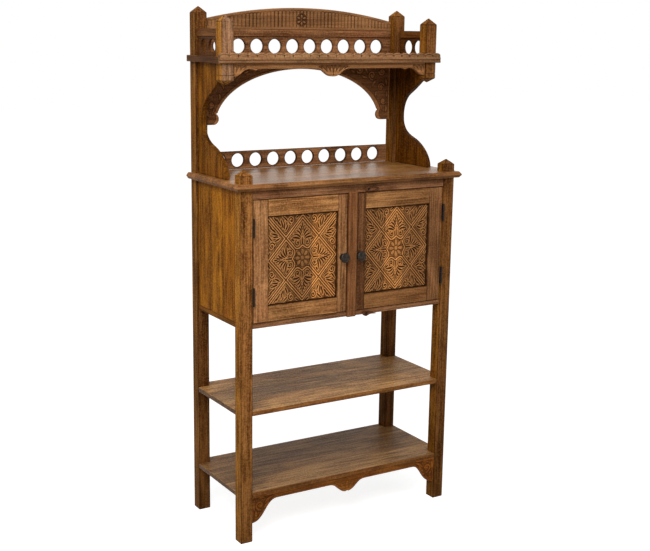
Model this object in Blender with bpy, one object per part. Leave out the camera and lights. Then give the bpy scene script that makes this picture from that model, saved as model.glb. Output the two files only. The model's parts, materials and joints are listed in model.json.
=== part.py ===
"""Carved two-door sideboard on open shelves, with a galleried upper shelf.

Metres, +Z up. The front faces -Y and X runs to the right seen from the front.
The origin is on the floor, under the middle of the whole object.
"""
import math

import bmesh
import bpy
from mathutils import Matrix, Vector

# Clearances
FIT_GAP = 0.0003             # between two pieces that are glued, nailed or seated
LEAF_PLAY = 0.0004           # between the two leaves of a closed hinge
DOOR_END_GAP = 0.0020        # door to the rails above and below it
MEETING_GAP = 0.0025         # left door to right door
PIN_CLEARANCE = 0.00015      # hinge pin in its knuckles, and button on its screw
KNUCKLE_GAP = 0.0004         # between two knuckles of one hinge

# Posts
CARCASE_WIDTH = 0.856        # over the posts
CARCASE_DEPTH = 0.377        # over the posts
POST_SIZE = 0.044
FRONT_FINIAL = 0.026         # straight end of a front post above the counter
FRONT_CAP = 0.018            # its pyramid
REAR_FINIAL = 0.052          # straight end of a rear post above the gallery
REAR_CAP = 0.022

# Heights, from the floor up
BOTTOM_SHELF_TOP = 0.179
SHELF_THICKNESS = 0.016
LOWER_BAY = 0.2745           # clear height between the two open shelves
UPPER_BAY = 0.286            # clear height between middle shelf and cabinet
CABINET_HEIGHT = 0.4615
COUNTER_THICKNESS = 0.022
NICHE_HEIGHT = 0.377         # counter to upper shelf
UPPER_SHELF_THICKNESS = 0.018

# Shaped apron under the bottom shelf
APRON_THICKNESS = 0.016
APRON_SETBACK = 0.002
APRON_BAND = 0.021
APRON_BRACKET_DROP = 0.096
APRON_BRACKET_LENGTH = 0.099
APRON_CENTRE_DROP = 0.057
APRON_CENTRE_HALF = 0.075

# Cabinet
FACE_SETBACK = 0.003         # doors and rails behind the front of the posts
RAIL_THICKNESS = 0.022
TOP_RAIL_HEIGHT = 0.030
BOTTOM_RAIL_HEIGHT = 0.0165
SIDE_SETBACK = 0.005
SIDE_THICKNESS = 0.014
BACK_SETBACK = 0.004
BACK_THICKNESS = 0.008
FLOOR_THICKNESS = 0.012
FLOOR_DROP = 0.003           # cabinet floor below the top of its rails

# Counter
COUNTER_SIDE_OVERHANG = 0.022
COUNTER_FRONT_OVERHANG = 0.0195
COUNTER_REAR_INSET = 0.006
NOSING_DEPTH = 0.008

# Doors
HINGE_STILE_WIDTH = 0.055
MEETING_FACE = 0.038         # meeting stile seen between batten and carved panel
DOOR_TOP_RAIL = 0.056
DOOR_BOTTOM_RAIL = 0.053
PANEL_THICKNESS = 0.008
PANEL_SETBACK = 0.007
PANEL_BACK_LIP = 0.005       # frame wood behind the panel
GROOVE_DEPTH = 0.008
TONGUE_SHOULDER = 0.004
BATTEN_WIDTH = 0.034
BATTEN_THICKNESS = 0.009
BATTEN_TOP_LAP = 0.007
BATTEN_BOTTOM_LAP = 0.020
BATTEN_CHAMFER = 0.003

# Hinges
HINGE_HEIGHT = 0.061
HINGE_INSET = 0.060          # door end to hinge end
HINGE_LEAF_WIDTH = 0.018
HINGE_LEAF_THICKNESS = 0.001
KNUCKLE_RADIUS = 0.004
HINGE_PIN_RADIUS = 0.0016
HINGE_PIN_HEAD = 0.003       # radius of its ball end
NECK_EASE = 0.0001           # neck of a knuckle thinner than its leaf, each side

# Knobs
KNOB_RADIUS = 0.0175
KNOB_ROSE_RADIUS = 0.012
KNOB_ROSE_HEIGHT = 0.0055
KNOB_NECK_RADIUS = 0.0065
KNOB_NECK_LENGTH = 0.0055
KNOB_HEAD_HEIGHT = 0.015
KNOB_SHANK_RADIUS = 0.003
KNOB_SHANK_COVER = 0.006     # door wood behind the end of the shank
KNOB_DROP = 0.0115           # below the middle of the door
KNOB_SWING_CLEARANCE = 0.002   # left knob to the edge of the batten
KNOB_ROSE_CLEARANCE = 0.0015   # right knob's rose to the edge of the batten

# Turn-buttons
BUTTON_PIVOT_X = 0.057
BUTTON_HEAD_RADIUS = 0.009
BUTTON_ROOT_ANGLE = 55       # degrees from the tail to where it leaves the head
BUTTON_TAIL = 0.044          # pivot to tip
BUTTON_BEND = 0.004
BUTTON_THICKNESS = 0.014
BUTTON_EDGE_CLEARANCE = 0.002
BOTTOM_BUTTON_RISE = 0.0045  # its screw above the underside of the cabinet
SCREW_RADIUS = 0.0021
SCREW_HEAD_RADIUS = 0.0044
SCREW_HEAD_RIM = 0.002
SCREW_HEAD_DOME = 0.0015
SCREW_HEAD_DEPTH = 0.006     # counterbore in the button
SCREW_COVER = 0.008          # rail wood behind the end of the screw

# Upper part
UPPER_DEPTH = 0.2445         # over rear and short posts
SHORT_POST_RISE = 0.134      # underside of the upper shelf to the cap
SHORT_CAP = 0.023
PENDANT_DROP = 0.0555
PENDANT_POINT = 0.016
BACK_BOARD_THICKNESS = 0.010
BACK_BOARD_INSET = 0.008     # arch, back gallery and crest in front of the back of the posts
SIDE_BOARD_THICKNESS = 0.018
SIDE_BOARD_SETBACK = 0.009
SIDE_FOOT = 0.2035           # depth of a side board on the counter
SIDE_LOWER_BEND = 0.100      # depth where the foot's curve turns over
SIDE_LOWER_HEIGHT = 0.0997   # height of that place above the counter
SIDE_LOWER_SLOPE = 16        # degrees down to the front there
SIDE_WAIST = 0.026
SIDE_WAIST_HEIGHT = 0.1757
SIDE_UPPER_BEND = 0.072
SIDE_UPPER_DROP = 0.1157     # below the upper shelf
SIDE_UPPER_SLOPE = 28        # degrees up to the front there
SIDE_BRACKET_DROP = 0.056
SIDE_LOWER_HANDLE = 0.046    # how strongly the curves hold their direction
SIDE_UPPER_HANDLE = 0.025
SIDE_TUCK_HANDLE = 0.005
ARCH_FOOT = 0.044
ARCH_TOE_RADIUS = 0.020
ARCH_TOE_BULGE = 0.0125      # toe standing into the arch
ARCH_TOE_ANGLE = 60          # degrees above level where the toe meets the arch
ARCH_HEIGHT = 0.217
ARCH_CROWN = 0.028
EDGE_STRIP_THICKNESS = 0.012
SIDE_STRIP_HEIGHT = 0.021
FRONT_STRIP_HEIGHT = 0.0275  # to the foot of the scallops
SCALLOP_HEIGHT = 0.0075
SCALLOP_PITCH = 0.034
VALANCE_THICKNESS = 0.016
VALANCE_SETBACK = 0.006
VALANCE_BAND = 0.018
VALANCE_BRACKET_DROP = 0.044
VALANCE_BRACKET_LENGTH = 0.062
VALANCE_CENTRE_DROP = 0.045
VALANCE_CENTRE_HALF = 0.068

# Pierced galleries
GALLERY_THICKNESS = 0.008
COUNTER_HOLE_RADIUS = 0.024
COUNTER_HOLE_SPACING = 0.0235  # wood between two holes
COUNTER_GALLERY_RIM = 0.008    # wood above and below the holes
UPPER_HOLE_RADIUS = 0.025
UPPER_HOLE_SPACING = 0.0215
SIDE_HOLE_SPACING = 0.011
UPPER_GALLERY_RIM = 0.008
HOLE_END_MARGIN = 0.020
SIDE_HOLE_END_MARGIN = 0.010
BAND_HEIGHT = 0.026
BAND_PROJECTION = 0.004
BAND_LIP = 0.0005            # board above its band
SIDE_BAND_PROJECTION = 0.003
CREST_END_HEIGHT = 0.031
CREST_RISE = 0.043

# Facets
ROUND_STEPS = 20
SMALL_ROUND_STEPS = 12
CURVE_STEPS = 12
ARCH_STEPS = 32
TOE_STEPS = 8
SCALLOP_STEPS = 5
KNOB_HEAD_STEPS = 6
BUTTON_TAIL_STEPS = 6

# Colours, as the wood and iron look in the photograph
CASE_WOOD = (0.235, 0.105, 0.036)
RED_WOOD = (0.250, 0.098, 0.040)
HONEY_WOOD = (0.270, 0.130, 0.042)
SHELF_WOOD = (0.200, 0.115, 0.060)
IRON = (0.012, 0.013, 0.015)

# Places worked out from the sizes
half_width = CARCASE_WIDTH / 2
inner_half = half_width - POST_SIZE
knob_neck_start = FIT_GAP + KNOB_ROSE_HEIGHT
knob_neck_end = knob_neck_start + KNOB_NECK_LENGTH
knob_front = knob_neck_end + KNOB_HEAD_HEIGHT
knob_reach = knob_front - FACE_SETBACK
batten_reach = BATTEN_THICKNESS + FIT_GAP - FACE_SETBACK
button_reach = BUTTON_THICKNESS + FIT_GAP - FACE_SETBACK
knuckle_reach = 2 * KNUCKLE_RADIUS + FIT_GAP
front_reach = max(COUNTER_FRONT_OVERHANG, knob_reach, batten_reach, button_reach, knuckle_reach)
rear_y = (CARCASE_DEPTH + front_reach) / 2
front_y = rear_y - CARCASE_DEPTH
face_y = front_y + FACE_SETBACK
upper_front_y = rear_y - UPPER_DEPTH

bottom_shelf_under = BOTTOM_SHELF_TOP - SHELF_THICKNESS
middle_shelf_under = BOTTOM_SHELF_TOP + LOWER_BAY
middle_shelf_top = middle_shelf_under + SHELF_THICKNESS
cabinet_under = middle_shelf_top + UPPER_BAY
counter_under = cabinet_under + CABINET_HEIGHT
counter_top = counter_under + COUNTER_THICKNESS
upper_under = counter_top + NICHE_HEIGHT
upper_top = upper_under + UPPER_SHELF_THICKNESS
gallery_zone = 2 * (UPPER_HOLE_RADIUS + UPPER_GALLERY_RIM)
gallery_top = upper_top + FIT_GAP + gallery_zone + BAND_HEIGHT

door_low = cabinet_under + BOTTOM_RAIL_HEIGHT + DOOR_END_GAP
door_high = counter_under - FIT_GAP - TOP_RAIL_HEIGHT - DOOR_END_GAP
hinge_gap = 2 * (HINGE_LEAF_THICKNESS + FIT_GAP) + LEAF_PLAY
door_edge = inner_half - hinge_gap
door_thickness = PANEL_SETBACK + PANEL_THICKNESS + PANEL_BACK_LIP
panel_outer = door_edge - HINGE_STILE_WIDTH
panel_inner = BATTEN_WIDTH / 2 + MEETING_FACE
panel_low = door_low + DOOR_BOTTOM_RAIL
panel_high = door_high - DOOR_TOP_RAIL
groove_front = face_y + PANEL_SETBACK - FIT_GAP
groove_back = face_y + PANEL_SETBACK + PANEL_THICKNESS + FIT_GAP
knob_places = {
    "left": -(BATTEN_WIDTH / 2 + KNOB_RADIUS + KNOB_SWING_CLEARANCE),
    "right": BATTEN_WIDTH / 2 + KNOB_ROSE_RADIUS + KNOB_ROSE_CLEARANCE,
}
knob_z = (door_low + door_high) / 2 - KNOB_DROP
knob_shank = door_thickness - KNOB_SHANK_COVER

# The hinge axis stands clear of the post's front corner by the knuckle's radius
hinge_x = inner_half - hinge_gap / 2
hinge_y = front_y - KNUCKLE_RADIUS - FIT_GAP

top_rail_under = counter_under - FIT_GAP - TOP_RAIL_HEIGHT
top_button_z = top_rail_under + BUTTON_EDGE_CLEARANCE + BUTTON_HEAD_RADIUS
bottom_button_z = cabinet_under + BOTTOM_BUTTON_RISE
button_back_y = face_y - FIT_GAP
screw_grip = RAIL_THICKNESS - SCREW_COVER

for old in list(bpy.data.objects):
    bpy.data.objects.remove(old)


def finish(name, colour, roughness=0.45, metallic=0.0):
    """One Principled material for one piece."""
    material = bpy.data.materials.new(name + "_finish")
    material.use_nodes = True
    shader = material.node_tree.nodes["Principled BSDF"]
    shader.inputs["Base Color"].default_value = (*colour, 1.0)
    shader.inputs["Roughness"].default_value = roughness
    shader.inputs["Metallic"].default_value = metallic
    return material


def piece(name, bm, colour, place=(0, 0, 0)):
    """Turn a closed bmesh into a named object with its own finish."""
    bmesh.ops.remove_doubles(bm, verts=bm.verts, dist=1e-6)
    bmesh.ops.recalc_face_normals(bm, faces=bm.faces)
    mesh = bpy.data.meshes.new(name)
    bm.to_mesh(mesh)
    bm.free()
    if colour is IRON:
        mesh.materials.append(finish(name, colour, 0.5, 0.8))
    else:
        mesh.materials.append(finish(name, colour))
    thing = bpy.data.objects.new(name, mesh)
    thing.location = place
    bpy.context.scene.collection.objects.link(thing)
    return thing


def block(low, high):
    """A bmesh box about its own middle, with that middle."""
    size = Vector(high) - Vector(low)
    bm = bmesh.new()
    bmesh.ops.create_cube(bm, size=1.0, matrix=Matrix.Diagonal((*size, 1.0)))
    return bm, (Vector(low) + Vector(high)) / 2


def slab(name, low, high, colour):
    """A plain board."""
    bm, middle = block(low, high)
    return piece(name, bm, colour, middle)


def point_end(bm, way, height):
    """Draw the end face that looks along way out to a point."""
    end = max(bm.faces, key=lambda face: face.calc_center_median().z * way)
    tip = end.calc_center_median() + Vector((0, 0, way * height))
    grown = bmesh.ops.extrude_face_region(bm, geom=[end])
    ring = [item for item in grown["geom"] if isinstance(item, bmesh.types.BMVert)]
    bmesh.ops.delete(bm, geom=[end], context="FACES_ONLY")
    bmesh.ops.pointmerge(bm, verts=ring, merge_co=tip)


def post(name, low, high, cap, pendant=0.0):
    """A square post with a pyramid on top and, if asked, a point below."""
    bm, middle = block(low, high)
    point_end(bm, 1, cap)
    if pendant:
        point_end(bm, -1, pendant)
    return piece(name, bm, CASE_WOOD, middle)


AXES = {
    "xy": Matrix(((1, 0, 0, 0), (0, 1, 0, 0), (0, 0, 1, 0), (0, 0, 0, 1))),
    "xz": Matrix(((1, 0, 0, 0), (0, 0, 1, 0), (0, 1, 0, 0), (0, 0, 0, 1))),
    "yz": Matrix(((0, 0, 1, 0), (1, 0, 0, 0), (0, 1, 0, 0), (0, 0, 0, 1))),
}


def sawn(outline, plane, start, end, holes=()):
    """A bmesh sawn from a board: an outline with holes, from start to end across it."""
    bm = bmesh.new()
    for loop in (outline, *holes):
        corners = [bm.verts.new((a, b, start)) for a, b in loop]
        for first, second in zip(corners, corners[1:] + corners[:1]):
            bm.edges.new((first, second))
    bmesh.ops.triangle_fill(bm, use_beauty=True, use_dissolve=False, edges=bm.edges)
    grown = bmesh.ops.extrude_face_region(bm, geom=bm.faces[:])
    ring = [item for item in grown["geom"] if isinstance(item, bmesh.types.BMVert)]
    bmesh.ops.translate(bm, verts=ring, vec=(0, 0, end - start))
    bmesh.ops.transform(bm, matrix=AXES[plane], verts=bm.verts)
    return bm


def board(name, outline, plane, start, end, colour, holes=()):
    """A sawn board as a finished piece."""
    return piece(name, sawn(outline, plane, start, end, holes), colour)


def turned(profile, steps, way):
    """A bmesh turned from a profile of radius and height, about Z or Y."""
    bm = bmesh.new()
    line = [bm.verts.new((radius, 0, height)) for radius, height in profile]
    for first, second in zip(line, line[1:]):
        bm.edges.new((first, second))
    bmesh.ops.spin(
        bm, geom=bm.verts[:] + bm.edges[:], cent=(0, 0, 0), axis=(0, 0, 1),
        angle=math.tau, steps=steps, use_merge=True)
    bmesh.ops.remove_doubles(bm, verts=bm.verts, dist=1e-6)
    if way == "front":
        bmesh.ops.rotate(bm, verts=bm.verts, cent=(0, 0, 0), matrix=Matrix.Rotation(math.pi / 2, 3, "X"))
    return bm


def shape(target, tool, operation="DIFFERENCE"):
    """Cut or join a piece with a tool piece, which is used up."""
    step = target.modifiers.new("shape", "BOOLEAN")
    step.object = tool
    step.operation = operation
    step.solver = "EXACT"
    bpy.context.view_layer.update()
    depsgraph = bpy.context.evaluated_depsgraph_get()
    shaped = bpy.data.meshes.new_from_object(target.evaluated_get(depsgraph))
    target.modifiers.clear()
    target.data = shaped
    bpy.data.objects.remove(tool)


def curve(start, first, second, end, steps=CURVE_STEPS):
    """Points along a cubic curve, its start left out."""
    points = []
    for step in range(1, steps + 1):
        t = step / steps
        s = 1 - t
        weights = (s ** 3, 3 * s * s * t, 3 * s * t * t, t ** 3)
        a = sum(w * p[0] for w, p in zip(weights, (start, first, second, end)))
        b = sum(w * p[1] for w, p in zip(weights, (start, first, second, end)))
        points.append((a, b))
    return points


def circle(a, b, radius, steps=ROUND_STEPS):
    """Points round a hole."""
    turns = [math.tau * (step + 0.5) / steps for step in range(steps)]
    return [(a + radius * math.cos(turn), b + radius * math.sin(turn)) for turn in turns]


def hang(pieces, name, place):
    """Parent the pieces of one moving body to an empty on its joint axis."""
    axis = bpy.data.objects.new(name, None)
    axis.location = place
    bpy.context.scene.collection.objects.link(axis)
    bpy.context.view_layer.update()
    for item in pieces:
        item.parent = axis
        item.matrix_parent_inverse = axis.matrix_world.inverted()


# Four corner posts
SIDES = (("left", -1), ("right", 1))
corners = {}
for side, sign in SIDES:
    outer = sign * half_width
    inner = sign * inner_half
    x_low, x_high = min(outer, inner), max(outer, inner)
    post("front_%s_post" % side, (x_low, front_y, 0),
         (x_high, front_y + POST_SIZE, counter_top + FRONT_FINIAL), FRONT_CAP)
    post("rear_%s_post" % side, (x_low, rear_y - POST_SIZE, 0),
         (x_high, rear_y, gallery_top + REAR_FINIAL), REAR_CAP)
    corners[side] = (x_low - FIT_GAP, x_high + FIT_GAP)


def clear_posts(target, low, high, front):
    """Notch a board round the posts, with the fitting gap."""
    for x_low, x_high in corners.values():
        for near in (front - FIT_GAP, rear_y - POST_SIZE - FIT_GAP):
            far = near + POST_SIZE + 2 * FIT_GAP
            bm, middle = block((x_low, near, low - POST_SIZE), (x_high, far, high + POST_SIZE))
            shape(target, piece("notch", bm, CASE_WOOD, middle))


# Two open shelves, notched round the posts and flush with them
shelf_half = half_width - FIT_GAP
for name, top in (("bottom_shelf", BOTTOM_SHELF_TOP), ("middle_shelf", middle_shelf_top)):
    shelf = slab(name, (-shelf_half, front_y + FIT_GAP, top - SHELF_THICKNESS),
                 (shelf_half, rear_y - FIT_GAP, top), SHELF_WOOD)
    clear_posts(shelf, top - SHELF_THICKNESS, top, front_y)


def shaped_rail(half_span, top, band, bracket_drop, bracket_length, centre_drop, centre_half):
    """Outline of a rail with a bracket at each end and a drop in the middle."""
    ease_bracket = bracket_length / 2
    ease_centre = centre_half / 2
    centre = (0, top - centre_drop)
    shoulder = (centre_half, top - band)
    root = (half_span - bracket_length, top - band)
    foot = (half_span, top - bracket_drop)
    right = [centre]
    right += curve(centre, (ease_centre, centre[1]), (shoulder[0] - ease_centre, shoulder[1]), shoulder)
    right.append(root)
    right += curve(root, (root[0] + ease_bracket, root[1]), (foot[0] - ease_bracket, foot[1]), foot)
    right.append((half_span, top))
    left = [(-x, z) for x, z in reversed(right[1:])]
    return right + left


# Shaped apron under the front of the bottom shelf
rail_half = inner_half - FIT_GAP
board(
    "bottom_apron",
    shaped_rail(rail_half, bottom_shelf_under - FIT_GAP, APRON_BAND, APRON_BRACKET_DROP,
                APRON_BRACKET_LENGTH, APRON_CENTRE_DROP, APRON_CENTRE_HALF),
    "xz", front_y + APRON_SETBACK, front_y + APRON_SETBACK + APRON_THICKNESS, HONEY_WOOD)

# Cabinet: rails, sides, floor and back between the posts
rail_back = face_y + RAIL_THICKNESS
side_rail_top = cabinet_under + BOTTOM_RAIL_HEIGHT
top_rail = slab("front_top_rail", (-rail_half, face_y, top_rail_under),
                (rail_half, rail_back, counter_under - FIT_GAP), RED_WOOD)
bottom_rail = slab("front_bottom_rail", (-rail_half, face_y, cabinet_under),
                   (rail_half, rail_back, side_rail_top), HONEY_WOOD)
bay_front = front_y + POST_SIZE + FIT_GAP
bay_rear = rear_y - POST_SIZE - FIT_GAP
for side, sign in SIDES:
    outer = sign * (half_width - SIDE_SETBACK)
    inner = outer - sign * SIDE_THICKNESS
    rail_inner = outer - sign * RAIL_THICKNESS
    slab("%s_bottom_rail" % side, (min(outer, rail_inner), bay_front, cabinet_under),
         (max(outer, rail_inner), bay_rear, side_rail_top), CASE_WOOD)
    slab("%s_side_panel" % side, (min(outer, inner), bay_front, side_rail_top + FIT_GAP),
         (max(outer, inner), bay_rear, counter_under - FIT_GAP), HONEY_WOOD)
back_rear = rear_y - BACK_SETBACK
back_front = back_rear - BACK_THICKNESS
slab("cabinet_back", (-rail_half, back_front, cabinet_under),
     (rail_half, back_rear, counter_under - FIT_GAP), CASE_WOOD)
floor_half = half_width - SIDE_SETBACK - RAIL_THICKNESS - FIT_GAP
floor_top = side_rail_top - FLOOR_DROP
floor_front = rail_back + FIT_GAP
cabinet_floor = slab("cabinet_floor", (-floor_half, floor_front, floor_top - FLOOR_THICKNESS),
                     (floor_half, back_front - FIT_GAP, floor_top), CASE_WOOD)
clear_posts(cabinet_floor, floor_top - FLOOR_THICKNESS, floor_top, front_y)

# Counter with a pointed nosing, pierced by the front posts and notched round the rear ones
bm = bmesh.new()
edge_x = half_width + COUNTER_SIDE_OVERHANG
edge_front = front_y - COUNTER_FRONT_OVERHANG
edge_rear = rear_y - COUNTER_REAR_INSET
nose_z = (counter_under + counter_top) / 2
loops = []
for height, inset in ((counter_under, NOSING_DEPTH), (nose_z, 0), (counter_top, NOSING_DEPTH)):
    x = edge_x - inset
    y = edge_front + inset
    places = ((-x, y), (x, y), (x, edge_rear), (-x, edge_rear))
    loop = [bm.verts.new((*place, height)) for place in places]
    loops.append([bm.edges.new(pair) for pair in zip(loop, loop[1:] + loop[:1])])
for lower, upper in zip(loops, loops[1:]):
    bmesh.ops.bridge_loops(bm, edges=lower + upper)
bmesh.ops.contextual_create(bm, geom=loops[0])
bmesh.ops.contextual_create(bm, geom=loops[-1])
counter = piece("counter_top", bm, HONEY_WOOD)
clear_posts(counter, counter_under, counter_top, front_y)

# Two panelled doors: grooved stiles and rails round a carved panel
door_back = face_y + door_thickness


def stile(name, outer, inner):
    """A door stile, grooved along its inner edge."""
    floor = inner + math.copysign(GROOVE_DEPTH, outer - inner)
    outline = [
        (outer, face_y), (inner, face_y), (inner, groove_front), (floor, groove_front),
        (floor, groove_back), (inner, groove_back), (inner, door_back), (outer, door_back)]
    return board(name, outline, "xy", door_low, door_high, CASE_WOOD)


def door_rail(name, start, end, inner, outer):
    """A door rail, grooved along its inner edge, with a stub tongue at each end."""
    way = math.copysign(1, outer - inner)
    floor = inner + way * GROOVE_DEPTH
    outline = [
        (face_y, outer), (face_y, inner), (groove_front, inner), (groove_front, floor),
        (groove_back, floor), (groove_back, inner), (door_back, inner), (door_back, outer)]
    rail = board(name, outline, "yz", start + FIT_GAP, end - FIT_GAP, HONEY_WOOD)
    reach = GROOVE_DEPTH - FIT_GAP
    z_ends = sorted((floor + way * TONGUE_SHOULDER, outer - way * TONGUE_SHOULDER))
    bm, middle = block((start - reach, groove_front + FIT_GAP, z_ends[0]),
                       (end + reach, groove_back - FIT_GAP, z_ends[1]))
    shape(rail, piece("tongue", bm, HONEY_WOOD, middle), "UNION")
    return rail


def drill(target, radius, near, depth, x, z):
    """Drill a round hole into a board from its front."""
    profile = ((0, -depth), (radius, -depth), (radius, near), (0, near))
    hole = piece("hole", turned(profile, SMALL_ROUND_STEPS, "front"), CASE_WOOD, (x, face_y, z))
    shape(target, hole)


knob_profile = [(0, -knob_shank), (KNOB_SHANK_RADIUS, -knob_shank), (KNOB_SHANK_RADIUS, FIT_GAP)]
knob_profile += [(KNOB_ROSE_RADIUS, FIT_GAP), (KNOB_ROSE_RADIUS, FIT_GAP + KNOB_ROSE_HEIGHT / 2)]
knob_profile += [(KNOB_NECK_RADIUS, knob_neck_start), (KNOB_NECK_RADIUS, knob_neck_end)]
for step in range(1, KNOB_HEAD_STEPS):
    turn = math.pi * step / KNOB_HEAD_STEPS
    height = knob_neck_end + KNOB_HEAD_HEIGHT * (1 - math.cos(turn)) / 2
    knob_profile.append((KNOB_RADIUS * math.sin(turn), height))
knob_profile.append((0, knob_front))

meeting_edges = {"left": -BATTEN_WIDTH / 2 - MEETING_GAP, "right": -BATTEN_WIDTH / 2}
door_pieces = {}
for side, sign in SIDES:
    stile_hinge = stile("%s_door_hinge_stile" % side, sign * door_edge, sign * panel_outer)
    stile_meeting = stile("%s_door_meeting_stile" % side, meeting_edges[side], sign * panel_inner)
    ends = sorted((sign * panel_inner, sign * panel_outer))
    rail_top = door_rail("%s_door_top_rail" % side, *ends, panel_high, door_high)
    rail_bottom = door_rail("%s_door_bottom_rail" % side, *ends, panel_low, door_low)
    tuck = GROOVE_DEPTH - FIT_GAP
    panel = slab("%s_door_panel" % side, (ends[0] - tuck, face_y + PANEL_SETBACK, panel_low - tuck),
                 (ends[1] + tuck, face_y + PANEL_SETBACK + PANEL_THICKNESS, panel_high + tuck), HONEY_WOOD)
    knob_x = knob_places[side]
    drill(stile_meeting, KNOB_SHANK_RADIUS + PIN_CLEARANCE, knob_front, knob_shank + FIT_GAP, knob_x, knob_z)
    knob = piece("%s_knob" % side, turned(knob_profile, ROUND_STEPS, "front"), IRON, (knob_x, face_y, knob_z))
    door_pieces[side] = [stile_hinge, stile_meeting, rail_top, rail_bottom, panel, knob]

# Batten on the right door, over the meeting line
bm, middle = block(
    (-BATTEN_WIDTH / 2, face_y - FIT_GAP - BATTEN_THICKNESS, door_low - BATTEN_BOTTOM_LAP),
    (BATTEN_WIDTH / 2, face_y - FIT_GAP, door_high + BATTEN_TOP_LAP))
nosing = [edge for edge in bm.edges if all(vert.co.y < 0 for vert in edge.verts)]
bmesh.ops.bevel(bm, geom=nosing, offset=BATTEN_CHAMFER, offset_type="OFFSET", segments=1,
                profile=0.5, affect="EDGES", material=-1)
door_pieces["right"].append(piece("meeting_batten", bm, RED_WOOD, middle))

# Hinges: a leaf on the post, a leaf on the door and a pin
pin_ball = HINGE_PIN_HEAD - HINGE_PIN_RADIUS
knuckle_height = (HINGE_HEIGHT - 2 * KNUCKLE_GAP) / 3


def knuckle(x, neck_low, neck_high, low):
    """One knuckle round the pin, with the neck that joins it to its leaf."""
    x_near, x_far = neck_low - x, neck_high - x
    turn_near = math.acos(x_near / KNUCKLE_RADIUS)
    turn_far = math.acos(x_far / KNUCKLE_RADIUS)
    sweep = math.tau - (turn_near - turn_far)
    outline = []
    for step in range(SMALL_ROUND_STEPS + 1):
        turn = turn_near + sweep * step / SMALL_ROUND_STEPS
        outline.append((x + KNUCKLE_RADIUS * math.cos(turn), hinge_y + KNUCKLE_RADIUS * math.sin(turn)))
    neck_end = front_y + HINGE_LEAF_WIDTH / 3
    outline += [(neck_high, neck_end), (neck_low, neck_end)]
    bore = circle(x, hinge_y, HINGE_PIN_RADIUS + PIN_CLEARANCE, SMALL_ROUND_STEPS)
    return sawn(outline, "xy", low, low + knuckle_height, [bore])


for side, sign in SIDES:
    for level, low in (("lower", door_low + HINGE_INSET), ("upper", door_high - HINGE_INSET - HINGE_HEIGHT)):
        hinge_name = "%s_%s_hinge" % (side, level)
        x = sign * hinge_x
        steps = [low + index * (knuckle_height + KNUCKLE_GAP) for index in range(3)]
        leaves = (("post_leaf", inner_half - FIT_GAP, -1, (steps[0], steps[2])),
                  ("door_leaf", door_edge + FIT_GAP, 1, (steps[1],)))
        for leaf_name, seat, away, levels in leaves:
            x_ends = sorted((sign * seat, sign * (seat + away * HINGE_LEAF_THICKNESS)))
            setback = FIT_GAP if leaf_name == "post_leaf" else FACE_SETBACK
            bm, middle = block((x_ends[0], front_y + setback, low),
                               (x_ends[1], front_y + HINGE_LEAF_WIDTH, low + HINGE_HEIGHT))
            leaf = piece("%s_%s" % (hinge_name, leaf_name), bm, IRON, middle)
            for start in levels:
                eased = (x_ends[0] + NECK_EASE, x_ends[1] - NECK_EASE)
                shape(leaf, piece("knuckle", knuckle(x, *eased, start), IRON), "UNION")
            if leaf_name == "door_leaf":
                door_pieces[side].append(leaf)
        foot = low - FIT_GAP
        head = low + HINGE_HEIGHT + FIT_GAP
        pin_profile = (
            (0, foot - pin_ball), (HINGE_PIN_HEAD, foot - pin_ball / 2), (HINGE_PIN_HEAD, foot),
            (HINGE_PIN_RADIUS, foot), (HINGE_PIN_RADIUS, head),
            (HINGE_PIN_HEAD, head), (HINGE_PIN_HEAD, head + pin_ball / 2), (0, head + pin_ball))
        piece("%s_pin" % hinge_name, turned(pin_profile, SMALL_ROUND_STEPS, "up"), IRON, (x, hinge_y, 0))
    hang(door_pieces[side], "%s_door_axis" % side, (sign * hinge_x, hinge_y, (door_low + door_high) / 2))

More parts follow.
